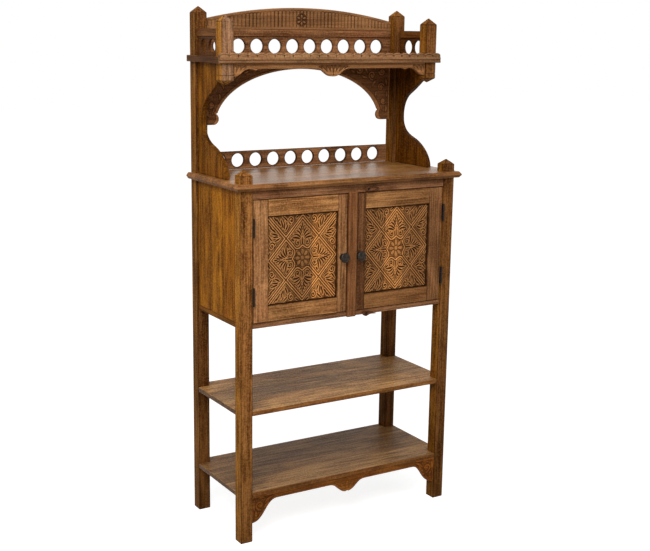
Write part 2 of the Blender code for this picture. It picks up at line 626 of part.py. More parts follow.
# Turn-buttons that hold the right door, turned aside along their rails, each on a screw
root_turn = math.radians(BUTTON_ROOT_ANGLE)
root = (BUTTON_HEAD_RADIUS * math.cos(root_turn), BUTTON_HEAD_RADIUS * math.sin(root_turn))
buttons = (("top", top_rail, top_button_z, 1), ("bottom", bottom_rail, bottom_button_z, -1))
for level, rail, z, bend in buttons:
    outline = []
    for step in range(ROUND_STEPS + 1):
        turn = root_turn + (math.tau - 2 * root_turn) * step / ROUND_STEPS
        outline.append((BUTTON_HEAD_RADIUS * math.cos(turn), BUTTON_HEAD_RADIUS * math.sin(turn) * bend))
    tip = (BUTTON_TAIL, BUTTON_BEND * bend)
    middle_x = BUTTON_TAIL / 2
    below = (root[0], -root[1] * bend)
    above = (root[0], root[1] * bend)
    outline += curve(below, (middle_x, below[1]), (middle_x, -tip[1]), tip, BUTTON_TAIL_STEPS)
    outline += curve(tip, (middle_x, tip[1]), (middle_x, 0), above, BUTTON_TAIL_STEPS)[:-1]
    pivot = (BUTTON_PIVOT_X, button_back_y, z)
    button = piece("%s_turn_button" % level, sawn(outline, "xz", -BUTTON_THICKNESS, 0), RED_WOOD, pivot)
    seat = BUTTON_THICKNESS - SCREW_HEAD_DEPTH
    bore = SCREW_RADIUS + PIN_CLEARANCE
    counterbore = SCREW_HEAD_RADIUS + PIN_CLEARANCE
    through = 2 * BUTTON_THICKNESS
    bore_profile = (
        (0, -through), (bore, -through), (bore, seat),
        (counterbore, seat), (counterbore, through), (0, through))
    shape(button, piece("bore", turned(bore_profile, SMALL_ROUND_STEPS, "front"), RED_WOOD, pivot))
    drill(rail, bore, BUTTON_THICKNESS, screw_grip + FIT_GAP, BUTTON_PIVOT_X, z)
    head_under = seat + PIN_CLEARANCE
    head_rim = head_under + SCREW_HEAD_RIM
    screw_profile = (
        (0, -screw_grip), (SCREW_RADIUS, -screw_grip), (SCREW_RADIUS, head_under),
        (SCREW_HEAD_RADIUS, head_under), (SCREW_HEAD_RADIUS, head_rim), (0, head_rim + SCREW_HEAD_DOME))
    piece("%s_button_screw" % level, turned(screw_profile, SMALL_ROUND_STEPS, "front"), IRON, pivot)


def rectangle(a_low, a_high, b_low, b_high):
    """Corners of a plain board."""
    return [(a_low, b_low), (a_high, b_low), (a_high, b_high), (a_low, b_high)]


def hole_row(start, end, radius, spacing, margin, height):
    """Holes spread evenly along a gallery, as many as its length takes."""
    pitch = 2 * radius + spacing
    count = int((end - start - 2 * margin + spacing) / pitch)
    first = (start + end) / 2 - (count - 1) / 2 * pitch
    return [circle(first + index * pitch, height, radius) for index in range(count)]


# Pierced gallery along the back of the counter
gallery_low = counter_top + FIT_GAP
gallery_high = gallery_low + 2 * (COUNTER_HOLE_RADIUS + COUNTER_GALLERY_RIM)
board("counter_gallery", rectangle(-rail_half, rail_half, gallery_low, gallery_high),
      "xz", rear_y - GALLERY_THICKNESS, rear_y, CASE_WOOD,
      hole_row(-rail_half, rail_half, COUNTER_HOLE_RADIUS, COUNTER_HOLE_SPACING, HOLE_END_MARGIN,
               (gallery_low + gallery_high) / 2))

# S-shaped side boards from the counter up to the upper shelf
depth_zero = rear_y - POST_SIZE - FIT_GAP
bracket_depth = UPPER_DEPTH - 2 * POST_SIZE - 2 * FIT_GAP
side_low = counter_top + FIT_GAP
side_high = upper_under - FIT_GAP
foot = (SIDE_FOOT, side_low)
lower_bend = (SIDE_LOWER_BEND, side_low + SIDE_LOWER_HEIGHT)
waist = (SIDE_WAIST, side_low + SIDE_WAIST_HEIGHT)
upper_bend = (SIDE_UPPER_BEND, side_high - SIDE_UPPER_DROP)
bracket = (bracket_depth, side_high - SIDE_BRACKET_DROP)


def along(point, length, degrees):
    """A place along a slope through a point."""
    turn = math.radians(degrees)
    return (point[0] + length * math.cos(turn), point[1] + length * math.sin(turn))


def upright(point, length):
    """A place straight above or below a point."""
    return (point[0], point[1] + length)


side_outline = [(0, side_high), (0, side_low), foot]
side_outline += curve(foot, upright(foot, SIDE_LOWER_HANDLE),
                      along(lower_bend, SIDE_LOWER_HANDLE, -SIDE_LOWER_SLOPE), lower_bend)
side_outline += curve(lower_bend, along(lower_bend, -SIDE_LOWER_HANDLE, -SIDE_LOWER_SLOPE),
                      upright(waist, -SIDE_LOWER_HANDLE), waist)
side_outline += curve(waist, upright(waist, SIDE_LOWER_HANDLE),
                      along(upper_bend, -SIDE_UPPER_HANDLE, SIDE_UPPER_SLOPE), upper_bend)
side_outline += curve(upper_bend, along(upper_bend, SIDE_UPPER_HANDLE, SIDE_UPPER_SLOPE),
                      upright(bracket, -SIDE_TUCK_HANDLE), bracket)
side_outline.append((bracket_depth, side_high))
side_outline = [(depth_zero - depth, z) for depth, z in side_outline]
side_face = half_width - SIDE_BOARD_SETBACK
for side, sign in SIDES:
    faces = sorted((sign * side_face, sign * (side_face - SIDE_BOARD_THICKNESS)))
    board("%s_side_board" % side, side_outline, "yz", *faces, CASE_WOOD)

# Arched back board with round toes that stand into the arch
back_board_rear = rear_y - BACK_BOARD_INSET
back_board_front = back_board_rear - BACK_BOARD_THICKNESS
arch_top = upper_under - FIT_GAP
arch_low = arch_top - ARCH_HEIGHT
arch_half = inner_half - ARCH_FOOT
arch_rise = ARCH_HEIGHT - ARCH_CROWN
toe_x = arch_half - ARCH_TOE_BULGE + ARCH_TOE_RADIUS
toe_z = arch_low + ARCH_TOE_RADIUS
toe_end = math.radians(ARCH_TOE_ANGLE)
left_toe = []
for step in range(TOE_STEPS + 1):
    turn = toe_end + (-math.pi / 2 - toe_end) * (1 - step / TOE_STEPS)
    left_toe.append((-toe_x + ARCH_TOE_RADIUS * math.cos(turn), toe_z + ARCH_TOE_RADIUS * math.sin(turn)))
right_toe = [(-x, z) for x, z in reversed(left_toe)]
spring = math.asin((left_toe[-1][1] - arch_low) / arch_rise)
arch_outline = [(-rail_half, arch_top), (-rail_half, arch_low)] + left_toe
for step in range(1, ARCH_STEPS):
    turn = math.pi - spring - (math.pi - 2 * spring) * step / ARCH_STEPS
    arch_outline.append((arch_half * math.cos(turn), arch_low + arch_rise * math.sin(turn)))
arch_outline += right_toe + [(rail_half, arch_low), (rail_half, arch_top)]
board("back_arch", arch_outline, "xz", back_board_front, back_board_rear, RED_WOOD)

# Short posts with a cap above and a pointed pendant below
for side, sign in SIDES:
    x_low, x_high = sorted((sign * half_width, sign * inner_half))
    post("%s_short_post" % side, (x_low, upper_front_y, upper_under - PENDANT_DROP),
         (x_high, upper_front_y + POST_SIZE, upper_under + SHORT_POST_RISE), SHORT_CAP, PENDANT_POINT)

# Upper shelf with edge strips on both sides and a scalloped strip along the front
upper_shelf = slab("upper_shelf", (-shelf_half, upper_front_y + FIT_GAP, upper_under),
                   (shelf_half, rear_y - FIT_GAP, upper_top), SHELF_WOOD)
clear_posts(upper_shelf, upper_under, upper_top, upper_front_y)
strip_inner = half_width + FIT_GAP
strip_outer = strip_inner + EDGE_STRIP_THICKNESS
for side, sign in SIDES:
    x_low, x_high = sorted((sign * strip_inner, sign * strip_outer))
    slab("%s_edge_strip" % side, (x_low, upper_front_y, upper_under),
         (x_high, rear_y, upper_under + SIDE_STRIP_HEIGHT), CASE_WOOD)
lobes = round(2 * strip_outer / SCALLOP_PITCH)
lobe = 2 * strip_outer / lobes
lobe_radius = (lobe ** 2 / 4 + SCALLOP_HEIGHT ** 2) / (2 * SCALLOP_HEIGHT)
lobe_turn = math.asin(lobe / 2 / lobe_radius)
lobe_foot = upper_under + FRONT_STRIP_HEIGHT
strip_outline = [(-strip_outer, upper_under), (strip_outer, upper_under), (strip_outer, lobe_foot)]
for index in range(lobes):
    middle_x = strip_outer - (index + 0.5) * lobe
    for step in range(1, SCALLOP_STEPS + 1):
        turn = lobe_turn - 2 * lobe_turn * step / SCALLOP_STEPS
        rise = lobe_radius * (math.cos(turn) - math.cos(lobe_turn))
        strip_outline.append((middle_x + lobe_radius * math.sin(turn), lobe_foot + rise))
strip_back = upper_front_y - FIT_GAP
board("front_edge_strip", strip_outline, "xz", strip_back - EDGE_STRIP_THICKNESS, strip_back, RED_WOOD)

# Shaped valance under the front of the upper shelf
valance_front = upper_front_y + VALANCE_SETBACK
board(
    "front_valance",
    shaped_rail(rail_half, upper_under - FIT_GAP, VALANCE_BAND, VALANCE_BRACKET_DROP,
                VALANCE_BRACKET_LENGTH, VALANCE_CENTRE_DROP, VALANCE_CENTRE_HALF),
    "xz", valance_front, valance_front + VALANCE_THICKNESS, RED_WOOD)

# Pierced galleries on the upper shelf, each with a moulded band, and the arched crest
rim_low = upper_top + FIT_GAP
band_low = rim_low + gallery_zone
hole_z = rim_low + gallery_zone / 2
gallery_front = back_board_rear - GALLERY_THICKNESS
back_gallery = board(
    "back_gallery", rectangle(-rail_half, rail_half, rim_low, gallery_top),
    "xz", gallery_front, back_board_rear, CASE_WOOD,
    hole_row(-rail_half, rail_half, UPPER_HOLE_RADIUS, UPPER_HOLE_SPACING, HOLE_END_MARGIN, hole_z))
bm, middle = block((-rail_half + BAND_LIP, gallery_front - BAND_PROJECTION, band_low),
                   (rail_half - BAND_LIP, back_board_rear - GALLERY_THICKNESS / 2, gallery_top - BAND_LIP))
shape(back_gallery, piece("band", bm, CASE_WOOD, middle), "UNION")
side_bay = (upper_front_y + POST_SIZE + FIT_GAP, rear_y - POST_SIZE - FIT_GAP)
for side, sign in SIDES:
    faces = sorted((sign * side_face, sign * (side_face - GALLERY_THICKNESS)))
    gallery = board(
        "%s_side_gallery" % side, rectangle(*side_bay, rim_low, gallery_top),
        "yz", *faces, CASE_WOOD,
        hole_row(*side_bay, UPPER_HOLE_RADIUS, SIDE_HOLE_SPACING, SIDE_HOLE_END_MARGIN, hole_z))
    bm, middle = block((faces[0] - SIDE_BAND_PROJECTION, side_bay[0] + BAND_LIP, band_low),
                       (faces[1] + SIDE_BAND_PROJECTION, side_bay[1] - BAND_LIP, gallery_top - BAND_LIP))
    shape(gallery, piece("band", bm, CASE_WOOD, middle), "UNION")
crest_low = gallery_top + FIT_GAP
crest_end = crest_low + CREST_END_HEIGHT
crest_radius = (rail_half ** 2 + CREST_RISE ** 2) / (2 * CREST_RISE)
crest_turn = math.asin(rail_half / crest_radius)
crest_outline = [(-rail_half, crest_low), (rail_half, crest_low)]
for step in range(ARCH_STEPS + 1):
    turn = crest_turn - 2 * crest_turn * step / ARCH_STEPS
    rise = crest_radius * (math.cos(turn) - math.cos(crest_turn))
    crest_outline.append((crest_radius * math.sin(turn), crest_end + rise))
board("arched_crest", crest_outline, "xz", back_board_front, back_board_rear, RED_WOOD)
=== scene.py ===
"""Looks of the carved sideboard: waxed hardwood, carved panels and black iron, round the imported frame.

Metres, +Z up, the front faces -Y, as in the frame.
"""
import json
import math

import bmesh
import bpy
import numpy as np
from mathutils import Matrix, Vector

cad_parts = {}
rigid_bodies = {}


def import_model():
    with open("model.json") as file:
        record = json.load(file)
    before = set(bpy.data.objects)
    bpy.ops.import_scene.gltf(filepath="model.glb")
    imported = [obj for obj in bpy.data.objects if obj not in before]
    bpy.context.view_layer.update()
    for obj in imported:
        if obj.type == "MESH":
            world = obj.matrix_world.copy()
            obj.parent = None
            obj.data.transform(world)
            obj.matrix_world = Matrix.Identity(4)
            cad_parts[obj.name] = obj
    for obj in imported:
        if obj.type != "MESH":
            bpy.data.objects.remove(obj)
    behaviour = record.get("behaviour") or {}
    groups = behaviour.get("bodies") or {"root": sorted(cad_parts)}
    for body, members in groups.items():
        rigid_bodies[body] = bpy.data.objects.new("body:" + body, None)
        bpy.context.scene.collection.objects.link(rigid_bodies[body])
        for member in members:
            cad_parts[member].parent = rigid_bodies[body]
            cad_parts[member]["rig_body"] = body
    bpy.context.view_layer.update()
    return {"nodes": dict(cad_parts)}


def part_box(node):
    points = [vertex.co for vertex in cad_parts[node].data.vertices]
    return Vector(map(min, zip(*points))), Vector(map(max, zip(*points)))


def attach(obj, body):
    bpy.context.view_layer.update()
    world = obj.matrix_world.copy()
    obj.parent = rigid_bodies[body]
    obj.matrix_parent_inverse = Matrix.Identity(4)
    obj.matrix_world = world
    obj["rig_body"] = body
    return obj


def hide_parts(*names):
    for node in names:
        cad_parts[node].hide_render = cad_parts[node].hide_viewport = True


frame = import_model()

# Corner posts
# Four square posts of solid hardwood carry the whole piece; the front pair stops above the counter.
# Each is planed square, its top cut to a low pyramid, and waxed; its soft arrises are darkened.
POST_EASE = 0.0022


def tone(red, green, blue):
    """A colour named in steps of 0 to 255, as linear light."""
    steps = [value / 255 for value in (red, green, blue)]
    return (*[s / 12.92 if s <= 0.04045 else ((s + 0.055) / 1.055) ** 2.4 for s in steps], 1.0)


def feed(tree, socket, value):
    """Give a socket a value, or link it to the output of another node."""
    if isinstance(value, bpy.types.NodeSocket):
        tree.links.new(value, socket)
    else:
        socket.default_value = value


def add(tree, kind, inputs=None, **options):
    """Add one shader node with its options and inputs."""
    item = tree.nodes.new("ShaderNode" + kind)
    for option, value in options.items():
        setattr(item, option, value)
    for socket, value in (inputs or {}).items():
        feed(tree, item.inputs[socket], value)
    return item


def reckon(tree, operation, first, second=0.0):
    """One sum on two numbers."""
    return add(tree, "Math", {0: first, 1: second}, operation=operation).outputs[0]


def spread(tree, value, low, high, first=0.0, second=1.0):
    """Map a number from one range to another, held at both ends."""
    inputs = {"Value": value, "From Min": low, "From Max": high, "To Min": first, "To Max": second}
    return add(tree, "MapRange", inputs).outputs[0]


def mix(tree, amount, first, second, how="MIX"):
    """Mix two colours."""
    item = add(tree, "Mix", data_type="RGBA", blend_type=how)
    for index, value in ((0, amount), (6, first), (7, second)):
        feed(tree, item.inputs[index], value)
    return item.outputs[2]


def ramp(tree, amount, *stops):
    """A run of colours along a number from 0 to 1."""
    item = add(tree, "ValToRGB", {"Fac": amount})
    elements = item.color_ramp.elements
    elements[0].position, elements[0].color = stops[0]
    elements[1].position, elements[1].color = stops[-1]
    for place, colour in stops[1:-1]:
        elements.new(place).color = colour
    return item.outputs["Color"]


def noise(tree, place, scale, detail, warp=0.0):
    """A cloudy number from 0 to 1, its features about 1 / scale metres across."""
    inputs = {"Vector": place, "Scale": scale, "Detail": detail, "Distortion": warp}
    return add(tree, "TexNoise", inputs).outputs[0]


def painted(tree, name):
    """A number that the mesh carries on its faces or points."""
    return add(tree, "Attribute", attribute_name=name).outputs["Fac"]


def finish(name):
    """A new material, with its nodes and its shader."""
    material = bpy.data.materials.new(name)
    material.use_nodes = True
    return material, material.node_tree, material.node_tree.nodes["Principled BSDF"]


# Dark wax in the pores, joints and carved hollows; the same colour paints shade in the door gaps, round the
# gallery holes and along the panels' borders
DARK_WAX_AND_SHADE = tone(50, 27, 11)
PAINTED_FLOOR_SHADE = tone(62, 35, 3)
PAINTED_SHADE_TOP = 0.9                      # height up to which the wood is painted darker as shade towards the floor
# Shares of the middle tone in dark grain, pale grain, a red flush, rubbed edges and carved ridges
WOOD_SHARES = ((0.23, 0.17, 0.12, 1), (1.85, 1.92, 2.00, 1), (0.98, 0.78, 0.74, 1),
               (1.7, 1.8, 2.0, 1), (2.5, 2.55, 2.55, 1))
DARK_BOARD = (0.28, 0.23, 0.21, 1)   # tints of the boards with figures 0 and 1
PALE_BOARD = (1.50, 1.30, 0.95, 1)
BOARD_APART = (31.0, 17.0, 23.0)     # from the grain of the one to the grain of the other


def waxed_wood(name, along, middle, gloss=0.48, sheen=0.05, edge_wear_and_shade=0.5, crown=0.0, wander=0.3, bold=1.0):
    """Wax-rubbed hardwood of a middle tone, sawn along one axis, with wax left in its hollows and painted
    shade towards the floor.

    Edge wear and shade above 0 wears the marked faces pale, and below 0 darkens them, as dark wax and, where
    a piece marks its gaps or hole walls, as painted shade; crown pales carved ridges; wander bends the
    streaks; bold strengthens the figure.
    """
    material, tree, shader = finish(name)
    plain = tone(*middle)
    dark, light, flush, worn, ridge = [[value * share for value, share in zip(plain, shares)]
                                       for shares in WOOD_SHARES]
    board = painted(tree, "board")
    far = add(tree, "VectorMath", {0: BOARD_APART, "Scale": board}, operation="SCALE").outputs[0]
    spot = add(tree, "TexCoord").outputs["Object"]
    place = add(tree, "VectorMath", {0: spot, 1: far}, operation="ADD").outputs[0]

    def grain(across, lengthwise, detail, warp=0.0):
        """Noise drawn out along the grain, by how many features there are to a metre each way."""
        scale = [across] * 3
        scale["XYZ".index(along)] = lengthwise
        stretched = add(tree, "Mapping", {"Vector": place, "Scale": scale}).outputs[0]
        return noise(tree, stretched, 1.0, detail, warp)

    streak = grain(42, 1.7, 3, wander)
    lines = grain(85, 1.1, 2, 0.5 * wander)
    flecks = grain(110, 4, 2, 0.6)
    fine = grain(300, 7, 3, 0.4)
    mottle = grain(20, 7, 3, 0.8)
    pores = spread(tree, grain(1250, 42, 1), 0.60, 0.68)
    turns = reckon(tree, "SINE", reckon(tree, "MULTIPLY", grain(7, 0.7, 1.2), 95.0))
    rings = spread(tree, turns, 0.1, 1.0)
    cloud = noise(tree, place, 5.0, 2.0)
    patches = grain(8, 3.5, 3, 1.2)
    specks = noise(tree, place, 190.0, 2.0)
    colour = ramp(tree, streak, (0.52 - 0.28 / bold, dark), (0.52, plain), (0.52 + 0.26 / bold, light))
    colour = mix(tree, spread(tree, cloud, 0.44, 0.64, 0.0, 0.7), colour, flush)
    colour = mix(tree, reckon(tree, "MULTIPLY", rings, 0.20), colour, dark)
    # How far each part of the figure darkens and pales the wood
    for figure, darker, lighter in ((patches, 0.75, 0.70), (mottle, 0.28, 0.20), (lines, 0.34, 0.26),
                                    (flecks, 0.20, 0.16), (fine, 0.60, 0.45), (specks, 0.36, 0.28)):
        colour = mix(tree, spread(tree, figure, 0.50, 0.50 + 0.19 / bold, 0.0, darker), colour, dark)
        colour = mix(tree, spread(tree, figure, 0.48, 0.48 - 0.17 / bold, 0.0, lighter), colour, light)
    tint = ramp(tree, board, (0.0, DARK_BOARD), (0.5, (1, 1, 1, 1)), (1.0, PALE_BOARD))
    colour = mix(tree, 1.0, colour, tint, "MULTIPLY")
    # Painted shade: the wood darkens towards the floor, where less lamp light reaches it
    level = add(tree, "SeparateXYZ", {0: spot}).outputs["Z"]
    colour = mix(tree, spread(tree, level, PAINTED_SHADE_TOP, 0.0, 0.0, 0.40), colour, PAINTED_FLOOR_SHADE)
    colour = mix(tree, reckon(tree, "MULTIPLY", pores, 0.5), colour, DARK_WAX_AND_SHADE)
    # Marked faces are paled as wear, or darkened as dark wax and, on door frames and round gallery holes, as
    # painted shade
    most = abs(edge_wear_and_shade)
    least = 0.5 * most if edge_wear_and_shade < 0 else 0.0
    marked = spread(tree, noise(tree, place, 42.0, 3.0), 0.42, 0.64, least, most)
    wear_and_shade = reckon(tree, "MULTIPLY", painted(tree, "wear_and_shade"), marked)
    colour = mix(tree, wear_and_shade, colour, worn if edge_wear_and_shade > 0 else DARK_WAX_AND_SHADE)
    hollow = painted(tree, "hollow")
    ridge = mix(tree, 1.0, ridge, tint, "MULTIPLY")
    colour = mix(tree, spread(tree, hollow, 0.35, 0.0, 0.0, crown), colour, ridge)
    colour = mix(tree, spread(tree, hollow, 0.10, 0.80, 0.0, 0.93), colour, DARK_WAX_AND_SHADE)
    feed(tree, shader.inputs["Base Color"], colour)
    dull = reckon(tree, "ADD", spread(tree, fine, 0.3, 0.7, gloss - 0.06, gloss + 0.10),
                  reckon(tree, "MULTIPLY", hollow, 0.25))
    feed(tree, shader.inputs["Roughness"], dull)
    height = reckon(tree, "SUBTRACT", reckon(tree, "MULTIPLY", fine, 0.6), pores)
    height = reckon(tree, "SUBTRACT", height, reckon(tree, "MULTIPLY", rings, 0.25))
    bump = add(tree, "Bump", {"Strength": 0.30, "Distance": 0.0006, "Height": height})
    feed(tree, shader.inputs["Normal"], bump.outputs[0])
    shader.inputs["Specular IOR Level"].default_value = sheen
    return material


def merged(node):
    """A copy of a frame node with its loose triangles joined into flat faces."""
    bm = bmesh.new()
    bm.from_mesh(frame["nodes"][node].data)
    bmesh.ops.remove_doubles(bm, verts=bm.verts, dist=2e-6)
    bmesh.ops.dissolve_limit(bm, angle_limit=math.radians(0.5), use_dissolve_boundaries=False,
                             verts=bm.verts, edges=bm.edges)
    return bm


def ease(bm, width, segments=3, steepest=25, clamp=False, edges=None):
    """Rub the edges given, or else all outer arrises, round and mark them as worn.

    A clamp keeps thin pieces from folding.
    """
    wear_and_shade = bm.faces.layers.float.get("wear_and_shade") or bm.faces.layers.float.new("wear_and_shade")
    if edges is None:
        edges = [edge for edge in bm.edges if edge.is_convex and
                 edge.calc_face_angle(0.0) > math.radians(steepest)]
    marked = bmesh.ops.bevel(bm, geom=edges, offset=width, offset_type="OFFSET", segments=segments,
                             profile=0.5, affect="EDGES", material=-1, clamp_overlap=clamp)
    for face in marked["faces"]:
        face[wear_and_shade] = 1.0
    return bm


def settle(bm, work, node, material, figure=None, crease=40):
    """Finish one piece: its mesh, its own figure in the wood, and the frame node that it stands for."""
    if figure is not None:
        board = bm.faces.layers.float.new("board")
        for face in bm.faces:
            face[board] = figure
    name = work + "_" + node
    mesh = bpy.data.meshes.new(name)
    bm.to_mesh(mesh)
    bm.free()
    mesh.materials.append(material)
    mesh.shade_smooth()
    mesh.set_sharp_from_angle(angle=math.radians(crease))
    piece = bpy.data.objects.new(name, mesh)
    bpy.context.scene.collection.objects.link(piece)
    crisp = piece.modifiers.new("crisp", "WEIGHTED_NORMAL")
    crisp.keep_sharp = True
    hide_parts(node)
    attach(piece, frame["nodes"][node]["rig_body"])
    return piece


def two_sided(bm, node, wood, front_wood, figure):
    """Finish a post whose front and back take another tone than its golden sides, as painted sheen and shade.
    """
    bm.normal_update()
    for face in bm.faces:
        face.material_index = 1 if abs(face.normal.y) > 0.6 else 0
    post = settle(bm, "planed", node, wood, figure)
    post.data.materials.append(front_wood)


# The front and back faces take a greyer, darker wood than the golden sides: painted sheen and shade
post_wood = waxed_wood("post_wood", "Z", (167, 111, 42), sheen=0.02, edge_wear_and_shade=-0.8, bold=1.9)
post_front_sheen_wood = waxed_wood("post_front_sheen_wood", "Z", (141, 93, 48), sheen=0.02, edge_wear_and_shade=-0.8, bold=1.9)
for node, figure in (("rear_left_post", 0.27), ("rear_right_post", 0.21),
                     ("front_left_post", 0.54), ("front_right_post", 0.24)):
    two_sided(ease(merged(node), POST_EASE), node, post_wood, post_front_sheen_wood, figure)

# Open shelves
# Two shelves of hardwood strips glued edge to edge, notched round the posts and flush with their faces.
# The tops are sanded and waxed; the long edges are stained brown, and the end grain is nearly black.
SHELF_EASE = 0.0016
SHELF_JOINTS = (-0.052, 0.066)
END_GRAIN = 0.04                     # figures of the ends and of the long edges
EDGE_GRAIN = 0.50


def part_at(bm, axis, place):
    """Part the faces of a piece along a plane square to an axis."""
    across = Vector([1.0 if index == axis else 0.0 for index in range(3)])
    bmesh.ops.bisect_plane(bm, geom=bm.verts[:] + bm.edges[:] + bm.faces[:],
                           plane_co=across * place, plane_no=across, dist=1e-6)


def glue_up(bm, axis, joints, figures):
    """Mark a board's glue joints and give each strip its own figure."""
    for joint in joints:
        part_at(bm, axis, joint)
    board = bm.faces.layers.float.new("board")
    for face in bm.faces:
        middle = face.calc_center_median()[axis]
        face[board] = figures[sum(joint < middle for joint in joints)]
    return bm


def stained_edges(bm):
    """Give the end grain and the long edges of a shelf their darker stain."""
    board = bm.faces.layers.float["board"]
    bm.normal_update()
    for face in bm.faces:
        if abs(face.normal.x) > 0.5:
            face[board] = END_GRAIN
        elif abs(face.normal.y) > 0.35:
            face[board] = EDGE_GRAIN
            face.material_index = 1
    return bm


shelf_wood = waxed_wood("shelf_wood", "X", (178, 134, 82), 0.44, 0.10, wander=3.0, bold=2.4)
shelf_edge_wood = waxed_wood("shelf_edge_wood", "X", (154, 102, 54), edge_wear_and_shade=-0.3)
for node, figures in (("bottom_shelf", (0.40, 0.26, 0.34)), ("middle_shelf", (0.60, 0.40, 0.60))):
    bm = glue_up(ease(merged(node), SHELF_EASE), 1, SHELF_JOINTS, figures)
    shelf = settle(stained_edges(bm), "glued", node, shelf_wood)
    shelf.data.materials.append(shelf_edge_wood)

# Shaped apron
# A thin board under the front of the bottom shelf, fretted to a bracket at each end and a drop in the middle.
# The brackets are carved with a scroll and leaves, cut into a sunk ground with gouges.
APRON_BAND = 0.021
APRON_BRACKET = (0.099, 0.096)       # length and drop
APRON_CENTRE = (0.075, 0.057)        # half length and drop
APRON_BLOCK = 0.082                  # length of the right bracket, glued on from paler wood
APRON_FIGURES = (0.50, 0.85)         # of the board and of that bracket
APRON_NICK = (0.0035, 0.0050)        # height and half width of the nick in the tip of the drop
APRON_COLUMNS = 420
APRON_ROWS = 34
APRON_DEPTH = 0.0024                 # of the carving
EDGE_ROUND = 0.0022
EDGE_LEAN = 0.8                      # from the height above a sloping edge to the distance from it
UNEVEN = 0.15                        # how far the depth of a carving varies, as a share of it
BACK_GRIME = 0.30                    # wax left on the plain back of a carved board
CARVED_CREASE = 65                   # degrees; gentler folds of a carving are shaded smooth
FAR = 99.0                           # millimetres, further than any stroke reaches


def step(low, high, value):
    """A smooth rise from 0 to 1 between two values."""
    share = np.clip((value - low) / (high - low), 0, 1)
    return share * share * (3 - 2 * share)


def bell(away, width):
    """1 on a line, falling to nothing on both sides of it."""
    return np.exp(-(away / width) ** 2)


def cubic(start, first, second, end, steps=24):
    """Points along a cubic curve."""
    t = np.linspace(0, 1, steps + 1)[:, None]
    s = 1 - t
    points = np.array([start, first, second, end], float)
    return s ** 3 * points[0] + 3 * s * s * t * points[1] + 3 * s * t * t * points[2] + t ** 3 * points[3]


def leaf(root, bend, tip, width, steps=10):
    """A leaf along a curve: narrow at its root, full past the middle, pointed at its tip."""
    stroke = []
    for t in np.linspace(0, 1, steps + 1):
        s = 1 - t
        x, z = (s * s * a + 2 * s * t * b + t * t * c for a, b, c in zip(root, bend, tip))
        stroke.append((x, z, width * max(0.10, 0.42 * s, math.sin(math.pi * t ** 0.8) ** 0.8)))
    return stroke


def volute(middle, radius, start, turns, width, steps=30):
    """A spiral that winds in to a bead; the start is an angle in degrees."""
    stroke = []
    for t in np.linspace(0, 1, steps + 1):
        turn = math.radians(start) + math.tau * turns * t
        reach = radius * (1 - 0.86 * t ** 0.8)
        stroke.append((middle[0] + reach * math.cos(turn), middle[1] + reach * math.sin(turn), width))
    stroke.append((middle[0], middle[1], width * 1.25))
    return stroke


def outside(x, z, stroke):
    """How far each place lies outside a stroke, in millimetres."""
    gap = np.full(x.shape, FAR)
    line = np.array(stroke)
    room = line[:, 2].max() + 5
    low, high = line[:, :2].min(0) - room, line[:, :2].max(0) + room
    near = (x > low[0]) & (x < high[0]) & (z > low[1]) & (z < high[1])
    px, pz, best = x[near], z[near], gap[near]
    for (ax, az, ar), (bx, bz, br) in zip(line, line[1:]):
        dx, dz = bx - ax, bz - az
        t = np.clip(((px - ax) * dx + (pz - az) * dz) / (dx * dx + dz * dz + 1e-9), 0, 1)
        best = np.minimum(best, np.hypot(px - ax - t * dx, pz - az - t * dz) - ar - t * (br - ar))
    gap[near] = best
    return gap


def raised(across, down, strokes):
    """Height and darkness, 0 to 1, of round-topped strokes outlined with a gouge on a rough ground."""
    x, z = 1000 * across, 1000 * down
    height = np.zeros(x.shape)
    gap = np.full(x.shape, FAR)
    for stroke in strokes:
        away = outside(x, z, stroke)
        swell = np.clip(-away / max(point[2] for point in stroke), 0, 1)
        body = step(0.5, -0.5, away) * (0.70 + 0.30 * np.sqrt(swell) - 0.14 * step(0.75, 0.95, swell))
        height = np.maximum(height, body)
        gap = np.minimum(gap, away)
    ground = 0.42 * step(1.2, 3.6, gap)
    return np.maximum(height, ground), np.where(height > ground, 1 - height, 1 - 1.2 * ground)


def hand(x, z):
    """The slight unevenness of hand work, about -1 to 1."""
    return (np.sin(71 * x + 40 * z) + np.sin(-53 * x + 97 * z + 1.3) + np.sin(139 * x - 83 * z + 4.1)) / 3


def rounding(away, radius=EDGE_ROUND):
    """How far a rubbed edge falls back, by the distance from the edge."""
    inside = np.clip(1 - away / radius, 0, 1)
    return radius * (1 - np.sqrt(1 - inside * inside))


def carved_board(columns, rows, place, front, back, relief):
    """A board with a carved front: a grid laid out by place, sunk by relief, and closed behind."""
    bm = bmesh.new()
    bmesh.ops.create_grid(bm, x_segments=columns, y_segments=rows, size=0.5)
    flat = np.array([vert.co[:2] for vert in bm.verts]) + 0.5
    x, z = place(flat[:, 0], flat[:, 1])
    sink, dark = relief(x, z, flat[:, 0])
    hollow = bm.verts.layers.float.new("hollow")
    for vert, a, b, deep, shade in zip(bm.verts, x, z, sink, dark):
        vert.co = (a, front + deep, b)
        vert[hollow] = shade
    rim = [edge for edge in bm.edges if edge.is_boundary]
    grown = bmesh.ops.extrude_edge_only(bm, edges=rim)["geom"]
    for item in grown:
        if isinstance(item, bmesh.types.BMVert):
            item.co.y = back
            item[hollow] = BACK_GRIME
    bmesh.ops.holes_fill(bm, edges=[edge for edge in bm.edges if edge.is_boundary], sides=0)
    bmesh.ops.recalc_face_normals(bm, faces=bm.faces)
    return bm


def between(low, high, foot=None, top=None):
    """Lay a board's grid out from end to end and from foot to top, both straight unless a curve is given."""
    def place(u, v):
        x = low.x + (high.x - low.x) * u
        bottom = foot(x) if foot else low.z
        return x, bottom + ((top(x) if top else high.z) - bottom) * v
    return place


